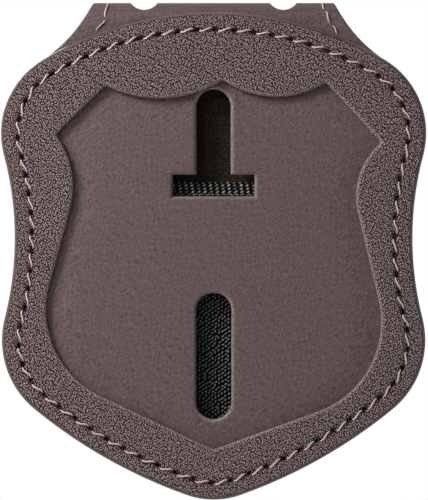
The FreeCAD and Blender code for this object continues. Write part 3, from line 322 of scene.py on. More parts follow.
# The dark crease colour is painted shade, and the pale top colour is a painted glint on each pebble.
crease_painted_shade = add(tree, "Mix", {0: hide_tone.outputs["Fac"], 6: linear("#1e0c0c"), 7: linear("#281414")},
             data_type="RGBA")
top_painted_glint = add(tree, "Mix", {0: hide_tone.outputs["Fac"], 6: linear("#9e8281"), 7: linear("#ae9291")},
          data_type="RGBA")
glint_share = add(tree, "MapRange", {"Value": grain.outputs[0], "From Min": 0.66, "From Max": 1.0})
grained = add(tree, "Mix", {0: glint_share.outputs[0], 6: crease_painted_shade.outputs[2], 7: top_painted_glint.outputs[2]},
              data_type="RGBA")
wear_and_highlight = add(tree, "Attribute", attribute_name="wear_and_highlight")
# The window's edge is painted paler, partly as burnish wear and partly as a painted highlight.
paler_highlight = add(tree, "Mix", {0: wear_and_highlight.outputs["Fac"], 6: grained.outputs[2], 7: linear("#9a8482")},
            data_type="RGBA")
rimmed = add(tree, "Mix", {0: inside.outputs[0], 6: linear("#594746"), 7: paler_highlight.outputs[2]},
             data_type="RGBA")
cut = add(tree, "Attribute", attribute_name="cut")
# The steep wall is dark as a dyed cut edge, and painted darker still as shade along the window.
walled_and_shaded = add(tree, "Mix", {0: cut.outputs["Fac"], 6: rimmed.outputs[2], 7: linear("#2a1f1f")},
             data_type="RGBA")
# The needle holes are painted near black, as the shade inside them.
hole_shade_mask = add(tree, "Attribute", attribute_name="hole_shade")
with_hole_shade = add(tree, "Mix", {0: hole_shade_mask.outputs["Fac"], 6: walled_and_shaded.outputs[2], 7: linear("#0e0808")},
            data_type="RGBA")
gloss = add(tree, "MapRange", {"Value": grain.outputs[0], "To Min": 0.28, "To Max": 0.18})
relief = add(tree, "Bump", {"Height": grain.outputs[0], "Distance": 0.34 * MM})
burnish = add(tree, "MapRange", {"Value": wear_and_highlight.outputs["Fac"], "To Min": 0.36, "To Max": 1.0})
skin = add(tree, "BsdfPrincipled", {"Base Color": with_hole_shade.outputs[2], "Roughness": gloss.outputs[0],
                                    "Normal": relief.outputs[0],
                                    "Specular IOR Level": burnish.outputs[0]})
add(tree, "OutputMaterial", {"Surface": skin.outputs[0]})
grained_frame.data.materials.append(pebbled_cowhide)
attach(grained_frame, "front")
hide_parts("front_frame")

# Badge leather and flap leather.
# One strip of smooth cowhide: it backs the window, narrows to the strap, folds over the top and
# runs down behind as the flap's outer face. Each half is shaped with the fold on it and parted at
# the fold's top.
FOLD_TOP_Y = -7.25 * MM
FOLD_Z = 10.2 * MM
FOLD_RADIUS = 3.6 * MM


def parted(title, whole, keep_front):
    """The front or the rear half of a folded piece, parted at the top of the fold."""
    half = bpy.data.objects.new(title, whole.data.copy())
    bpy.context.collection.objects.link(half)
    only(half)
    bpy.ops.object.mode_set(mode="EDIT")
    bpy.ops.mesh.select_all(action="SELECT")
    bpy.ops.mesh.bisect(plane_co=(0, FOLD_TOP_Y, 0), plane_no=(0, 1, 0),
                        clear_outer=keep_front, clear_inner=not keep_front)
    bpy.ops.object.mode_set(mode="OBJECT")
    return half


def bend_at_fold(piece):
    """Bakes a piece's place into its mesh."""
    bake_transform(piece)


HINGE_ANGLE = math.radians(60)
HINGE_WITHIN = math.radians(1)
WELD = 0.05 * MM
FOLD_CUTS = 12
FIRST_CUT_Z = 9.2 * MM
CUT_STEP = 0.4 * MM


def welded_at_fold(piece):
    """Welds the fold's ends to the leather beside them, and takes out the faces between."""
    points = points_of(piece)
    angles = np.arctan2(points[:, 2] - FOLD_Z, FOLD_TOP_Y - points[:, 1])
    near = np.abs(np.abs(angles - math.pi / 2) - HINGE_ANGLE) < HINGE_WITHIN
    only(piece)
    bpy.ops.object.mode_set(mode="EDIT")
    bpy.ops.mesh.select_mode(type="VERT")
    bpy.ops.mesh.select_all(action="DESELECT")
    bpy.ops.object.mode_set(mode="OBJECT")
    piece.data.vertices.foreach_set("select", near)
    bpy.ops.object.mode_set(mode="EDIT")
    bpy.ops.mesh.delete(type="ONLY_FACE")
    bpy.ops.mesh.remove_doubles(threshold=WELD)
    bpy.ops.mesh.select_all(action="SELECT")
    bpy.ops.mesh.dissolve_degenerate(threshold=SAME_POINT)
    bpy.ops.mesh.select_all(action="SELECT")
    bpy.ops.mesh.dissolve_limited(angle_limit=math.radians(1))
    for step in range(FOLD_CUTS):
        bpy.ops.mesh.select_all(action="SELECT")
        bpy.ops.mesh.bisect(plane_co=(0, 0, FIRST_CUT_Z + step * CUT_STEP), plane_no=(0, 0, 1))
    bpy.ops.object.mode_set(mode="OBJECT")


SEAT_GAP = 0.15 * MM
SEAT_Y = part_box("recess_panel")[0].y + SEAT_GAP
strip = merged_copy("strip", "recess_panel", "fold_leather")
points = points_of(strip)
points[:, 1] = np.where((points[:, 1] < SEAT_Y) & (points[:, 2] < 0), SEAT_Y, points[:, 1])
move_points(strip, points)
welded_at_fold(strip)
slot_edges = nearest_finder(cut_edges(strip, SEAT_Y))
badge_leather = parted("badge_leather", strip, True)
bpy.data.objects.remove(strip)
bpy.ops.object.shade_smooth()
SLOT_REACH = 10 * MM
SLOTS_TOP_Z = -4 * MM
SLOTS_LOW_Z = -76 * MM
RIM = 0.75 * MM
EASED = 0.3 * MM
SHARP_EDGE = math.radians(50)
EDGE_ON = 0.5


def rounded_front(piece, by_slots, width):
    """Rounds the front edges of the slots, or all other front edges, of a flat leather."""
    bpy.ops.object.mode_set(mode="EDIT")
    bpy.ops.mesh.select_mode(type="EDGE")
    shape = bmesh.from_edit_mesh(piece.data)
    for edge in shape.edges:
        middle = (edge.verts[0].co + edge.verts[1].co) / 2
        turned = len(edge.link_faces) == 2 and edge.calc_face_angle() > SHARP_EDGE
        inner = abs(middle.x) < SLOT_REACH and middle.z < 0
        front = any(face.normal.y < -EDGE_ON for face in edge.link_faces) or middle.z > FOLD_Z
        edge.select_set(turned and front and inner == by_slots)
    bpy.ops.mesh.bevel(offset=width, segments=4, clamp_overlap=False)
    bpy.ops.mesh.select_mode(type="VERT")
    bpy.ops.object.mode_set(mode="OBJECT")


rounded_front(badge_leather, True, RIM)
rounded_front(badge_leather, False, EASED)
CROWN = 0.5 * MM
CROWN_REACH = 6.5 * MM
CROWN_STEP = 1.5 * MM
CROWN_HALF_WIDTH = 36 * MM
CROWN_LOW_Z = -82 * MM
PANEL_BACK_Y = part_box("recess_panel")[1].y


def crowned(piece):
    """Swells the leather inside the window forward, drawn tight where the frame holds it down."""
    bpy.ops.object.mode_set(mode="EDIT")
    for way, first, last in (((1, 0, 0), -CROWN_HALF_WIDTH, CROWN_HALF_WIDTH),
                             ((0, 0, 1), CROWN_LOW_Z, 0)):
        for step in range(int((last - first) / CROWN_STEP) + 1):
            bpy.ops.mesh.select_all(action="SELECT")
            bpy.ops.mesh.bisect(plane_co=Vector(way) * (first + step * CROWN_STEP), plane_no=way)
    bpy.ops.object.mode_set(mode="OBJECT")
    points = points_of(piece)
    for point, far in zip(points, np.minimum(reach(window_edges, points) / CROWN_REACH, 1)):
        covered = grained_frame.ray_cast((point[0], IN_FRONT_Y, point[2]), (0, 1, 0))[0]
        if not covered and point[2] < 0:
            depth = (PANEL_BACK_Y - point[1]) / (PANEL_BACK_Y - SEAT_Y)
            point[1] -= CROWN * depth * (1 - (1 - far) ** 2)
    move_points(piece, points)
    bpy.ops.object.shade_smooth_by_angle(angle=math.radians(60))
    worked(piece, "WEIGHTED_NORMAL", keep_sharp=True)


crowned(badge_leather)
points = points_of(badge_leather)
beside_slot = np.abs(points[:, 0]) < SLOT_REACH
at_slot_height = (points[:, 2] < SLOTS_TOP_Z) & (points[:, 2] > SLOTS_LOW_Z)
rim_share = np.clip(1 - reach(slot_edges, points) / RIM, 0, 1)
mark(badge_leather, "rim", np.where(beside_slot & at_slot_height, rim_share, 0))

HIDE_VOXEL = 0.42 * MM
hide = merged_copy("hide", "fold_leather", "flap_cover")
worked(hide, "REMESH", mode="VOXEL", voxel_size=HIDE_VOXEL, use_smooth_shade=True)
worked(hide, "SMOOTH", factor=0.5, iterations=1)
flap_leather = parted("flap_leather", hide, False)
bpy.data.objects.remove(hide)
flap_holes = needle_holes(stitch_runs("flap_seam_thread"))
pierce(flap_leather, flap_holes, 1, half_length=0.70 * MM, half_width=0.42 * MM, depth=0.45 * MM)

# Smooth cowhide: matt, with pores and fine slanting fibres, a little mottled. The rims of the
# slots are rubbed, and flecks of their raised fibres are painted pale as glints.
smooth_cowhide, tree = new_finish("smooth_cowhide")
place = add(tree, "TexCoord").outputs["Object"]
mottle = add(tree, "TexNoise", {"Vector": place, "Scale": 1 / (9 * MM), "Detail": 4.0})
tone = add(tree, "Mix", {0: mottle.outputs["Fac"], 6: linear("#453637"), 7: linear("#524242")},
           data_type="RGBA")
slant = add(tree, "Mapping", {"Vector": place, "Rotation": (0, math.radians(40), 0), "Scale": (1, 1, 5)},
            vector_type="TEXTURE")
fibre = add(tree, "TexNoise", {"Vector": slant.outputs[0], "Scale": 1 / (0.18 * MM), "Detail": 1.0})
pores = add(tree, "TexNoise", {"Vector": place, "Scale": 1 / (0.22 * MM), "Detail": 2.0})
skin_height = add(tree, "Math", {0: pores.outputs["Fac"], 1: 0.35, 2: fibre.outputs["Fac"]},
                  operation="MULTIPLY_ADD")
streak = add(tree, "MapRange", {"Value": skin_height.outputs[0], "From Min": 0.5, "From Max": 0.85})
rim = add(tree, "Attribute", attribute_name="rim")
streaked = add(tree, "Mix", {0: streak.outputs[0], 6: tone.outputs[2], 7: linear("#726061")},
               data_type="RGBA")
# Pale flecks on the slots' rims: rubbed fibres, painted pale as glints.
sparkle = add(tree, "MapRange", {"Value": pores.outputs["Fac"], "From Min": 0.4, "From Max": 0.65})
fibre_glint = add(tree, "Math", {0: rim.outputs["Fac"], 1: sparkle.outputs[0]}, operation="MULTIPLY")
paler_glint = add(tree, "Mix", {0: fibre_glint.outputs[0], 6: streaked.outputs[2], 7: linear("#b5a7a5")},
             data_type="RGBA")
# The needle holes are painted near black, as the shade inside them.
hole_shade_mask = add(tree, "Attribute", attribute_name="hole_shade")
with_hole_shade = add(tree, "Mix", {0: hole_shade_mask.outputs["Fac"], 6: paler_glint.outputs[2], 7: linear("#0e0808")},
            data_type="RGBA")
matt = add(tree, "MapRange", {"Value": pores.outputs["Fac"], "To Min": 0.46, "To Max": 0.62})
gloss = add(tree, "MapRange", {"Value": rim.outputs["Fac"], "To Min": matt.outputs[0], "To Max": 0.3})
relief = add(tree, "Bump", {"Height": skin_height.outputs[0], "Distance": 0.12 * MM})
skin = add(tree, "BsdfPrincipled", {"Base Color": with_hole_shade.outputs[2], "Roughness": gloss.outputs[0],
                                    "Normal": relief.outputs[0], "Specular IOR Level": 0.12})
add(tree, "OutputMaterial", {"Surface": skin.outputs[0]})

# Edge paint: a thin matt coat that hides the fibres of the cut leather, a little uneven.
edge_paint, tree = new_finish("edge_paint")
place = add(tree, "TexCoord").outputs["Object"]
uneven = add(tree, "TexNoise", {"Vector": place, "Scale": 1 / (0.8 * MM), "Detail": 3.0})
coat = add(tree, "Mix", {0: uneven.outputs["Fac"], 6: linear("#3f3232"), 7: linear("#574848")},
           data_type="RGBA")
relief = add(tree, "Bump", {"Height": uneven.outputs["Fac"], "Distance": 0.06 * MM})
skin = add(tree, "BsdfPrincipled", {"Base Color": coat.outputs[2], "Roughness": 0.6,
                                    "Normal": relief.outputs[0], "Specular IOR Level": 0.15})
add(tree, "OutputMaterial", {"Surface": skin.outputs[0]})

FOLD_FOOT_Z = 9.5 * MM
UNPAINTED_ROUND = 2 * MM
SIDEWAYS = 0.7


def is_painted(face):
    """Whether a face of the leather is on its outer cut edge, away from the slots."""
    beside = abs(face.normal.x) > SIDEWAYS
    below = abs(face.normal.y) < EDGE_ON and face.center.z < FOLD_FOOT_Z
    near_slot = abs(face.center.x) < SLOT_REACH + UNPAINTED_ROUND
    at_slot = SLOTS_LOW_Z - UNPAINTED_ROUND < face.center.z < SLOTS_TOP_Z + UNPAINTED_ROUND
    return (beside or below) and not (near_slot and at_slot)


for half in (badge_leather, flap_leather):
    half.data.materials.append(smooth_cowhide)
    half.data.materials.append(edge_paint)
    for face in half.data.polygons:
        face.material_index = int(is_painted(face))
bend_at_fold(badge_leather)
bend_at_fold(flap_leather)
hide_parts("recess_panel", "fold_leather")
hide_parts("flap_cover", "fold_leather")

# Linings.
# Thin napped leather, glued to the inside of the strip from the front over the fold to the flap.
# It is one layer, parted at the top of the fold like the leather that it lines.
lining = merged_copy("lining", "front_lining", "fold_lining", "flap_lining")
welded_at_fold(lining)
front_lining = parted("front_lining_leather", lining, True)
flap_lining = parted("flap_lining_leather", lining, False)
bpy.data.objects.remove(lining)

# Napped lining leather: dark, with a short soft nap that scatters the light, so it stays matt.
napped_leather, tree = new_finish("napped_leather")
place = add(tree, "TexCoord").outputs["Object"]
nap = add(tree, "TexNoise", {"Vector": place, "Scale": 1 / (0.35 * MM), "Detail": 4.0})
brushed = add(tree, "TexNoise", {"Vector": place, "Scale": 1 / (5 * MM), "Detail": 2.0})
flecks = add(tree, "MapRange", {"Value": nap.outputs["Fac"], "From Min": 0.4, "From Max": 0.75})
dark = add(tree, "Mix", {0: brushed.outputs["Fac"], 6: linear("#110c0b"), 7: linear("#1b1613")},
           data_type="RGBA")
light = add(tree, "Mix", {0: flecks.outputs[0], 6: dark.outputs[2], 7: linear("#4b3e35")},
            data_type="RGBA")
relief = add(tree, "Bump", {"Height": nap.outputs["Fac"], "Distance": 0.1 * MM})
skin = add(tree, "BsdfPrincipled", {"Base Color": light.outputs[2], "Roughness": 0.95,
                                    "Normal": relief.outputs[0], "Specular IOR Level": 0.05,
                                    "Sheen Weight": 0.05, "Sheen Roughness": 0.5})
add(tree, "OutputMaterial", {"Surface": skin.outputs[0]})
for half in (front_lining, flap_lining):
    only(half)
    bpy.ops.object.shade_smooth_by_angle(angle=math.radians(35))
    half.data.materials.append(napped_leather)
bend_at_fold(front_lining)
bend_at_fold(flap_lining)
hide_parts("front_lining", "fold_lining")
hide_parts("flap_lining", "fold_lining")

# Stiffener.
# A sheet of pressed fibre board between the flap's two leathers, which keeps the flap flat under
# the clip. Only its edge shows, so its CAD solid stays and gets the board's finish.
fibre_board, tree = new_finish("fibre_board")
place = add(tree, "TexCoord").outputs["Object"]
flecks = add(tree, "TexNoise", {"Vector": place, "Scale": 1 / (0.5 * MM), "Detail": 5.0})
board = add(tree, "Mix", {0: flecks.outputs["Fac"], 6: linear("#3f3631"), 7: linear("#695a51")},
            data_type="RGBA")
relief = add(tree, "Bump", {"Height": flecks.outputs["Fac"], "Distance": 0.05 * MM})
skin = add(tree, "BsdfPrincipled", {"Base Color": board.outputs[2], "Roughness": 0.85,
                                    "Normal": relief.outputs[0]})
add(tree, "OutputMaterial", {"Surface": skin.outputs[0]})
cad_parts["flap_stiffener"].data.materials[0] = fibre_board

# Stitching.
# Two-ply waxed thread in a lockstitch. Each stitch lies a little aslant between two needle holes
# and dives into them; one stitch is modelled and laid along every row.
STITCH_LENGTH = 3.1 * MM
THREAD_END_RADIUS = 0.13 * MM
STITCH_DIVE = 0.35 * MM
# Each step along the stitch: a share of its length, the shift aside and the rise in mm, the swelling.
STITCH_STEPS = ((0.06, 0, 0.28, 1.2), (0.16, -0.1, 0.2, 1.14), (0.28, 0.2, 0.08, 1.04),
                (0.28, 0.2, -0.08, 0.96), (0.16, -0.1, -0.2, 0.88), (0.06, 0, -0.28, 0.83))
bpy.ops.object.select_all(action="DESELECT")
bpy.ops.mesh.primitive_circle_add(vertices=6, radius=THREAD_END_RADIUS, fill_type="NGON",
                                  location=(-STITCH_LENGTH / 2, 0, -STITCH_DIVE),
                                  rotation=(0, math.pi / 2, 0))
stitch = bpy.context.object
bpy.ops.object.transform_apply(location=True, rotation=True)
bpy.ops.object.mode_set(mode="EDIT")
bpy.ops.mesh.select_all(action="SELECT")
for share, aside, rise, swell in STITCH_STEPS:
    bpy.ops.mesh.extrude_region_move(
        TRANSFORM_OT_translate={"value": (share * STITCH_LENGTH, aside * MM, rise * MM)})
    bpy.ops.transform.resize(value=(1, swell, swell))
bpy.ops.mesh.select_all(action="SELECT")
bpy.ops.mesh.normals_make_consistent(inside=False)
bpy.ops.mesh.faces_shade_smooth()
bpy.ops.object.mode_set(mode="OBJECT")


def as_piece(title, shape):
    """A new piece with a finished shape."""
    mesh = bpy.data.meshes.new(title)
    shape.to_mesh(mesh)
    shape.free()
    piece = bpy.data.objects.new(title, mesh)
    bpy.context.collection.objects.link(piece)
    return piece


def copies(title, model, places):
    """One piece made of copies of a model, each copy's mesh put in its place."""
    shape = bmesh.new()
    for place in places:
        mesh = model.data.copy()
        mesh.transform(place)
        shape.from_mesh(mesh)
        bpy.data.meshes.remove(mesh)
    return as_piece(title, shape)


def laid(middle, along, outward, depth, length, slant):
    """Place of one stitch on a face that looks outward along y."""
    normal = Vector((0, outward, 0))
    lengthways = (Matrix.Rotation(slant, 3, normal) @ along).normalized()
    turn = Matrix((lengthways, normal.cross(lengthways), normal)).transposed().to_4x4()
    spot = Vector((middle.x, depth, middle.z))
    return Matrix.Translation(spot) @ turn @ Matrix.Diagonal((length / STITCH_LENGTH, 1, 1, 1))


def thread_finish(title, hollow_shade, crown_highlight, roughness):
    """Twisted thread: raised ply flecks 0.3 mm long, painted light as highlights, between hollows
    painted darker as shade.
    """
    finish, tree = new_finish(title)
    place = add(tree, "TexCoord").outputs["Object"]
    ply = add(tree, "TexNoise", {"Vector": place, "Scale": 1 / (0.3 * MM), "Detail": 3.0})
    shade = add(tree, "Mix", {0: ply.outputs["Fac"], 6: linear(hollow_shade), 7: linear(crown_highlight)},
                data_type="RGBA")
    relief = add(tree, "Bump", {"Height": ply.outputs["Fac"], "Distance": 0.06 * MM})
    skin = add(tree, "BsdfPrincipled", {"Base Color": shade.outputs[2], "Roughness": roughness,
                                        "Normal": relief.outputs[0], "IOR": 1.5})
    add(tree, "OutputMaterial", {"Surface": skin.outputs[0]})
    return finish


# Waxed thread: pale and a little pink, with the soft shine of the wax.
waxed_thread = thread_finish("waxed_thread", "#957d7c", "#f3dbd7", 0.55)

# Nylon thread of the tapes: black, and a little shinier.
nylon_thread = thread_finish("nylon_thread", "#111113", "#333337", 0.5)

STITCH_OVERREACH = 1.05
STITCH_SLANT = math.radians(10)
SLANT_SPREAD = math.radians(3)
FRAME_FACE_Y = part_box("front_frame")[0].y
FRONT_BACK_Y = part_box("loop_patch")[0].y
FLAP_BACK_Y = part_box("flap_cover")[1].y
FLAP_INSIDE_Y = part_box("hook_patch")[1].y
# Each row's piece, CAD row and body, the face that it lies on, the way that face looks along y, and
# its lift in mm: the frame's seam is pressed in, and the tapes' seams lie on their woven ground.
SEAMS = (("frame_stitches", "frame_seam_thread", "front", FRAME_FACE_Y, -1, -0.13),
         ("frame_back_stitches", "frame_seam_bobbin_thread", "front", FRONT_BACK_Y, 1, 0.1),
         ("flap_stitches", "flap_seam_thread", "flap", FLAP_BACK_Y, 1, 0.03),
         ("flap_inner_stitches", "flap_seam_bobbin_thread", "flap", FLAP_INSIDE_Y, -1, 0.1),
         ("loop_tape_stitches", "loop_patch_thread", "front", FRONT_BACK_Y, 1, 0.6),
         ("hook_tape_stitches", "hook_patch_thread", "flap", FLAP_INSIDE_Y, -1, 0.6))
for title, node_name, body, face_y, outward, lift in SEAMS:
    on_tape = "patch" in node_name
    depth = face_y + outward * lift * MM
    dice = random.Random(node_name)
    places = []
    for middle, along, length in stitch_runs(node_name):
        slant = STITCH_SLANT + dice.uniform(-SLANT_SPREAD, SLANT_SPREAD)
        places.append(laid(middle, along, outward, depth, length * STITCH_OVERREACH, slant))
    row = copies(title, stitch, places)
    row.data.materials.append(nylon_thread if on_tape else waxed_thread)
    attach(row, body)
    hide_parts(node_name)

# Strap stitching.
# The same thread up both edges of the strap and over the fold, where each stitch curves with the
# leather, in a front half and a rear half.
STRAP_LIFT = 0.08 * MM


def strap_point(run, side, lift):
    """A point over the strap: run is the way along the leather from where the fold begins."""
    turn = max(0.0, min(run / FOLD_RADIUS, math.pi / 2))
    rest = run - turn * FOLD_RADIUS
    height = FOLD_RADIUS + lift
    return Vector((side, FOLD_TOP_Y - height * math.cos(turn), FOLD_Z + rest + height * math.sin(turn)))


def strap_stitches(title, rows, rear):
    """The stitches of one half of the strap, each bent along the leather between its two ends."""
    shape = bmesh.new()
    for first, last in rows:
        mesh = stitch.data.copy()
        for point in mesh.vertices:
            share = point.co.x / STITCH_LENGTH + 0.5
            run, side = (Vector(first) * MM).lerp(Vector(last) * MM, share)
            point.co = strap_point(run, side + point.co.y, point.co.z + STRAP_LIFT)
            if rear:
                point.co.y = 2 * FOLD_TOP_Y - point.co.y
        shape.from_mesh(mesh)
        bpy.data.meshes.remove(mesh)
    bmesh.ops.recalc_face_normals(shape, faces=shape.faces[:])
    piece = as_piece(title, shape)
    piece.data.materials.append(waxed_thread)
    return piece


# Each stitch's two ends in mm: the way along the strap from where the fold begins, and x.
front_rows = [((-2.4, -24.7), (-0.2, -23.1)), ((0.2, -22.9), (4.6, -22.5)),
              ((-3.3, 26.3), (-1.3, 24.9)), ((-1.0, 24.6), (1.8, 23.4)), ((2.1, 23.3), (5.0, 22.6))]
rear_rows = [((0.2, -22.9), (4.6, -22.5)), ((0.2, 22.9), (4.6, 22.5))]
front_strap_stitches = strap_stitches("front_strap_stitches", front_rows, False)
rear_strap_stitches = strap_stitches("rear_strap_stitches", rear_rows, True)
bend_at_fold(front_strap_stitches)
bend_at_fold(rear_strap_stitches)
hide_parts("strap_seam_thread", "fold_seam_thread")
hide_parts("fold_seam_thread")
bpy.data.objects.remove(stitch)

# Hook tape.
# Black nylon tape on the inside of the flap: a woven ground with a plain woven border, and rows of
# small bent hooks over the field. It shows through the slots of the badge leather.
hook_low, hook_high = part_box("hook_patch")
BORDER = 2.6 * MM
GROUND = 0.5 * MM
FLUSH = 0.1 * MM


def tape_ground(title, node_name, back, face):
    """The woven ground of a tape: its CAD solid, pressed down to the ground's thickness."""
    ground = merged_copy(title, node_name)
    points = points_of(ground)
    points[:, 1] = np.where(np.abs(points[:, 1] - back) < FLUSH, back, face)
    move_points(ground, points)
    bpy.ops.object.mode_set(mode="EDIT")
    bpy.ops.mesh.select_all(action="SELECT")
    bpy.ops.mesh.dissolve_limited(angle_limit=math.radians(2))
    bpy.ops.object.mode_set(mode="OBJECT")
    return ground


HOOK_THICKNESS = 0.32 * MM
# Each step along the hook: the shift aside and the rise in mm.
HOOK_STEPS = ((0.0, 0.32), (0.06, 0.2), (0.16, 0.14), (0.2, -0.02), (0.12, -0.14))
hook_ground = tape_ground("hook_tape_ground", "hook_patch", hook_high.y, hook_high.y - GROUND)
bpy.ops.object.select_all(action="DESELECT")
bpy.ops.mesh.primitive_circle_add(vertices=4, radius=HOOK_THICKNESS / 2, fill_type="NGON")
hook = bpy.context.object
bpy.ops.object.mode_set(mode="EDIT")
bpy.ops.mesh.select_all(action="SELECT")
for aside, rise in HOOK_STEPS:
    bpy.ops.mesh.extrude_region_move(TRANSFORM_OT_translate={"value": (aside * MM, 0, rise * MM)})
bpy.ops.mesh.select_all(action="SELECT")
bpy.ops.mesh.normals_make_consistent(inside=False)
bpy.ops.mesh.faces_shade_smooth()
bpy.ops.object.mode_set(mode="OBJECT")
HOOK_ROW = 0.88 * MM
HOOK_SPACING = 0.68 * MM
HOOK_SHIFT = 0.08 * MM
HOOK_TURN = math.radians(55)
TURN_SPREAD = math.radians(30)
up = Matrix.Rotation(math.pi / 2, 4, "X")
dice = random.Random(5)
places = []
rows = int((hook_high.z - hook_low.z - 2 * BORDER) / HOOK_ROW)
steps = int((hook_high.x - hook_low.x - 2 * BORDER) / HOOK_SPACING)
for row in range(rows + 1):
    for step in range(steps + 1):
        staggered = row + 0.5 * (step % 2)
        x = hook_low.x + BORDER + step * HOOK_SPACING + dice.uniform(-HOOK_SHIFT, HOOK_SHIFT)
        z = hook_low.z + BORDER + staggered * HOOK_ROW + dice.uniform(-HOOK_SHIFT, HOOK_SHIFT)
        spin = Matrix.Rotation(HOOK_TURN + dice.uniform(-TURN_SPREAD, TURN_SPREAD), 4, "Z")
        places.append(Matrix.Translation((x, hook_high.y - GROUND, z)) @ up @ spin)
hooks = copies("hook_rows", hook, places)
bpy.data.objects.remove(hook)

# Woven nylon ground: black, with slanting threads drawn 0.65 mm wide, coarser than real ones so that
# they show. Along the border their crowns are painted white as glints, and under the hooks they stay
# dark.
woven_nylon, tree = new_finish("woven_nylon")
place = add(tree, "TexCoord").outputs["Object"]
parts = add(tree, "SeparateXYZ", {0: place})
slanted = add(tree, "Math", {0: parts.outputs["Z"], 1: -0.8, 2: parts.outputs["X"]},
              operation="MULTIPLY_ADD")
warp = add(tree, "Math", {0: slanted.outputs[0], 1: math.pi / (0.65 * MM)}, operation="MULTIPLY")
weft = add(tree, "Math", {0: parts.outputs["Z"], 1: math.pi / (0.68 * MM)}, operation="MULTIPLY")
warp_wave = add(tree, "Math", {0: warp.outputs[0]}, operation="SINE")
weft_wave = add(tree, "Math", {0: weft.outputs[0]}, operation="SINE")
weave = add(tree, "Math", {0: warp_wave.outputs[0], 1: weft_wave.outputs[0]}, operation="MULTIPLY")
crown_highlight = add(tree, "MapRange", {"Value": weave.outputs[0], "From Min": 0.3, "From Max": 0.8})
wear_and_highlight = add(tree, "TexNoise", {"Vector": place, "Scale": 1 / (0.9 * MM), "Detail": 2.0})
shine = add(tree, "MapRange", {"Value": wear_and_highlight.outputs["Fac"], "From Min": 0.35, "From Max": 0.65,
                               "To Min": 0.1})
across = add(tree, "Math", {0: parts.outputs["X"]}, operation="ABSOLUTE")
up_down = add(tree, "Math", {0: parts.outputs["Z"], 1: (hook_low.z + hook_high.z) / 2},
              operation="SUBTRACT")
away = add(tree, "Math", {0: up_down.outputs[0]}, operation="ABSOLUTE")
past_side = add(tree, "Math", {0: across.outputs[0], 1: hook_high.x - BORDER},
                operation="GREATER_THAN")
past_end = add(tree, "Math", {0: away.outputs[0], 1: (hook_high.z - hook_low.z) / 2 - BORDER},
               operation="GREATER_THAN")
border = add(tree, "Math", {0: past_side.outputs[0], 1: past_end.outputs[0]}, operation="MAXIMUM")
# Painted glints on the border's crowns, brighter and dimmer by patches.
bright = add(tree, "Math", {0: crown_highlight.outputs[0], 1: shine.outputs[0]}, operation="MULTIPLY")
lit = add(tree, "Math", {0: bright.outputs[0], 1: border.outputs[0]}, operation="MULTIPLY")
nylon = add(tree, "Mix", {0: lit.outputs[0], 6: linear("#08080a"), 7: linear("#ffffff")},
            data_type="RGBA")
relief = add(tree, "Bump", {"Height": weave.outputs[0], "Distance": 0.08 * MM})
skin = add(tree, "BsdfPrincipled", {"Base Color": nylon.outputs[2], "Roughness": 0.45,
                                    "Normal": relief.outputs[0], "Specular IOR Level": 0.05})
add(tree, "OutputMaterial", {"Surface": skin.outputs[0]})

# Hook monofilament: dark grey nylon, smooth enough to glint, with painted glints: paler towards its
# tips.
DARK_ROOT = 0.4 * MM
monofilament, tree = new_finish("hook_monofilament")
place = add(tree, "TexCoord").outputs["Object"]
varied = add(tree, "TexNoise", {"Vector": place, "Scale": 1 / (0.8 * MM), "Detail": 1.0})
height = add(tree, "SeparateXYZ", {0: place})
tip = add(tree, "MapRange", {"Value": height.outputs["Y"], "From Max": hook_low.y,
                             "From Min": hook_high.y - GROUND - DARK_ROOT})
# The hooks' tips are painted paler, as a painted glint, brighter and dimmer by patches.
paler_glint = add(tree, "Math", {0: tip.outputs[0], 1: varied.outputs["Fac"]}, operation="MULTIPLY")
nylon = add(tree, "Mix", {0: paler_glint.outputs[0], 6: linear("#08080a"), 7: linear("#949aa0")},
            data_type="RGBA")
skin = add(tree, "BsdfPrincipled", {"Base Color": nylon.outputs[2], "Roughness": 0.24,
                                    "Specular IOR Level": 0.5})
add(tree, "OutputMaterial", {"Surface": skin.outputs[0]})
hook_ground.data.materials.append(woven_nylon)
hooks.data.materials.append(monofilament)
for piece in (hook_ground, hooks):
    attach(piece, "flap")
    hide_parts("hook_patch")

# Loop tape.
# The other half of the fastening, sewn to the front lining: the same woven ground, with a pile of
# fine nylon loops over the field. The slots are cut through it.
loop_low, loop_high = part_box("loop_patch")
LOOP_RADIUS = 0.38 * MM
LOOP_RISE = 0.3 * MM
LOOP_ROOT = 0.02 * MM
FILAMENT_RADIUS = 0.05 * MM
loop_ground = tape_ground("loop_tape_ground", "loop_patch", loop_low.y, loop_low.y + GROUND)
bpy.ops.object.select_all(action="DESELECT")
bpy.ops.mesh.primitive_torus_add(major_segments=10, minor_segments=4, major_radius=LOOP_RADIUS,
                                 minor_radius=FILAMENT_RADIUS)
loop = bpy.context.object
bpy.ops.object.mode_set(mode="EDIT")
bpy.ops.mesh.select_all(action="SELECT")
bpy.ops.transform.rotate(value=math.pi / 2, orient_axis="X", center_override=(0, 0, 0))
bpy.ops.transform.translate(value=(0, 0, LOOP_RISE))
bpy.ops.mesh.bisect(plane_co=(0, 0, -LOOP_ROOT), plane_no=(0, 0, 1), clear_inner=True)
bpy.ops.object.mode_set(mode="OBJECT")
LOOP_SPACING = 0.95 * MM
LOOP_SHIFT = 0.2 * MM
LOOP_LEAN = 0.5
PIN_SLOT_HALF_WIDTH = 4.3 * MM
PIN_SLOT_LOW_Z = -74.9 * MM
PIN_SLOT_TOP_Z = -46.8 * MM
CROSSBAR_HALF_WIDTH = 9.2 * MM
CROSSBAR_LOW_Z = -27.9 * MM
up = Matrix.Rotation(-math.pi / 2, 4, "X")
dice = random.Random(9)
places = []
rows = int((loop_high.z - loop_low.z - 2 * BORDER) / LOOP_SPACING)
steps = int((loop_high.x - loop_low.x - 2 * BORDER) / LOOP_SPACING)
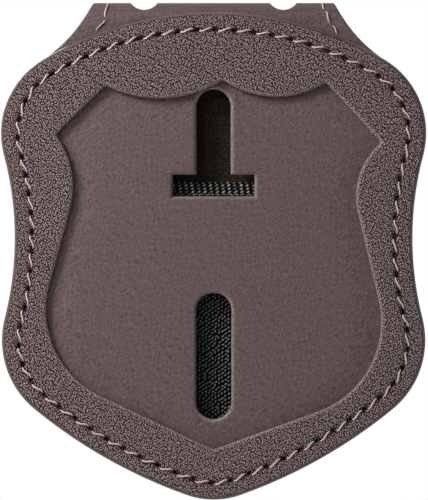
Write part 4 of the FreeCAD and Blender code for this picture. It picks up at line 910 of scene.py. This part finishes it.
for row in range(rows + 1):
    for step in range(steps + 1):
        x = loop_low.x + BORDER + step * LOOP_SPACING + dice.uniform(-LOOP_SHIFT, LOOP_SHIFT)
        z = loop_low.z + BORDER + row * LOOP_SPACING + dice.uniform(-LOOP_SHIFT, LOOP_SHIFT)
        in_pin_slot = abs(x) < PIN_SLOT_HALF_WIDTH and PIN_SLOT_LOW_Z < z < PIN_SLOT_TOP_Z
        in_crossbar = abs(x) < CROSSBAR_HALF_WIDTH and z > CROSSBAR_LOW_Z
        if not in_pin_slot and not in_crossbar:
            spin = Matrix.Rotation(dice.uniform(0, math.pi), 4, "Z")
            lean = Matrix.Rotation(dice.uniform(-LOOP_LEAN, LOOP_LEAN), 4, "X")
            places.append(Matrix.Translation((x, loop_low.y + GROUND, z)) @ up @ spin @ lean)
loops = copies("loop_pile", loop, places)
bpy.data.objects.remove(loop)
loop_ground.data.materials.append(woven_nylon)
loops.data.materials.append(nylon_thread)
for piece in (loop_ground, loops):
    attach(piece, "front")
    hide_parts("loop_patch")

# Belt clip.
# One strip of spring steel, bent over at the top into a sprung arm and nickel plated.
belt_clip = merged_copy("belt_clip", "clip_base", "clip_arm")
worked(belt_clip, "BEVEL", width=0.14 * MM, segments=2, limit_method="ANGLE", angle_limit=SHARP_EDGE)
only(belt_clip)
bpy.ops.object.shade_smooth_by_angle(angle=math.radians(35))

# Satin nickel plate: a bright warm metal with fine lines along the strip from polishing.
satin_nickel, tree = new_finish("satin_nickel")
place = add(tree, "TexCoord").outputs["Object"]
drawn = add(tree, "Mapping", {"Vector": place, "Scale": (1, 1, 0.03)})
lines = add(tree, "TexNoise", {"Vector": drawn.outputs[0], "Scale": 1 / (0.15 * MM), "Detail": 3.0})
smears = add(tree, "TexNoise", {"Vector": place, "Scale": 1 / (6 * MM), "Detail": 3.0})
plate = add(tree, "Mix", {0: smears.outputs["Fac"], 6: linear("#b3afa8"), 7: linear("#c6c2bb")},
            data_type="RGBA")
gloss = add(tree, "MapRange", {"Value": lines.outputs["Fac"], "To Min": 0.22, "To Max": 0.42})
relief = add(tree, "Bump", {"Height": lines.outputs["Fac"], "Distance": 0.006 * MM})
skin = add(tree, "BsdfPrincipled", {"Base Color": plate.outputs[2], "Roughness": gloss.outputs[0],
                                    "Normal": relief.outputs[0], "Metallic": 1.0})
add(tree, "OutputMaterial", {"Surface": skin.outputs[0]})
belt_clip.data.materials.append(satin_nickel)
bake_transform(belt_clip)
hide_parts("clip_base", "clip_arm")

# Rivets and washers.
# Two domed steel rivets through the clip and the flap, clinched over washers on the inside. Their
# CAD solids have the right shape, and get the plate's finish.
for name in ("clip_rivets", "rivet_washers"):
    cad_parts[name].data.materials[0] = satin_nickel

# Floor, light and camera.
# A pale round floor under the holder, three soft lamps and a white room. The camera looks straight
# at the front, as the photograph does.
FLOOR_Z = -115 * MM
FLOOR_RADIUS = 300 * MM
FLOOR_WHITENESS = 0.75
bpy.ops.object.select_all(action="DESELECT")
bpy.ops.mesh.primitive_circle_add(vertices=96, radius=FLOOR_RADIUS, fill_type="NGON",
                                  location=(0, 0, FLOOR_Z))
floor = bpy.context.object
floor.name = "floor"


def background_seen(tree):
    """1 where the background is looked at, also in metal or through glass, and 0 for its light."""
    rays = add(tree, "LightPath")
    seen = add(tree, "Math", {0: rays.outputs["Is Camera Ray"], 1: rays.outputs["Is Glossy Ray"]},
               operation="MAXIMUM")
    through = add(tree, "Math", {0: seen.outputs[0], 1: rays.outputs["Is Transmission Ray"]},
                  operation="MAXIMUM")
    return through.outputs[0]


# Pale matt floor: nearly white to the eye, and it keeps a little of the holder's shadow.
pale_floor, tree = new_finish("pale_floor")
plain = add(tree, "Math", {0: background_seen(tree), 1: FLOOR_WHITENESS}, operation="MULTIPLY")
matt = add(tree, "BsdfDiffuse", {"Color": linear("#ececea")})
glow = add(tree, "Emission", {"Strength": 1.0})
mixed = add(tree, "MixShader", {0: plain.outputs[0], 1: matt.outputs[0], 2: glow.outputs[0]})
add(tree, "OutputMaterial", {"Surface": mixed.outputs[0]})
floor.data.materials.append(pale_floor)

# White room: plain white to look at, with a faint greenish light that fills the shadows.
room = bpy.data.worlds.new("white_room")
room.use_nodes = True
room.node_tree.nodes.clear()
bpy.context.scene.world = room
tree = room.node_tree
seen = background_seen(tree)
level = add(tree, "MapRange", {"Value": seen, "To Min": 0.095, "To Max": 1.0})
tint = add(tree, "Mix", {0: seen, 6: linear("#dcffd6"), 7: linear("#ffffff")}, data_type="RGBA")
sky = add(tree, "Background", {"Color": tint.outputs[2], "Strength": level.outputs[0]})
add(tree, "OutputWorld", {"Surface": sky.outputs[0]})

MIDDLE_Z = -38.5 * MM
LIT_SPOT = Vector((0, -8 * MM, MIDDLE_Z))
for title, spot, power, width in (("key_lamp", (-0.23, -0.185, 0.16), 1.36, 0.12),
                                  ("spot_lamp", (-0.13, -0.30, 0.10), 0.15, 0.05),
                                  ("back_lamp", (-0.30, 0.50, 0.25), 1.9, 0.3)):
    bpy.ops.object.light_add(type="AREA", location=spot)
    lamp = bpy.context.object
    lamp.name = title
    lamp.data.energy = power
    lamp.data.size = width
    lamp.rotation_euler = (LIT_SPOT - lamp.location).to_track_quat("-Z", "Y").to_euler()

CAMERA_X = 0.08 * MM
CAMERA_DISTANCE = 800 * MM
CAMERA_Y = FRAME_FACE_Y - CAMERA_DISTANCE
PICTURE_HEIGHT = 105.15 * MM
bpy.ops.object.camera_add(location=(CAMERA_X, CAMERA_Y, MIDDLE_Z), rotation=(math.pi / 2, 0, 0))
camera = bpy.context.object
camera.data.sensor_fit = "VERTICAL"
camera.data.angle_y = 2 * math.atan(PICTURE_HEIGHT / 2 / CAMERA_DISTANCE)
camera.data.clip_start = 10 * MM
bpy.context.scene.camera = camera
bpy.context.scene.view_settings.view_transform = "Standard"
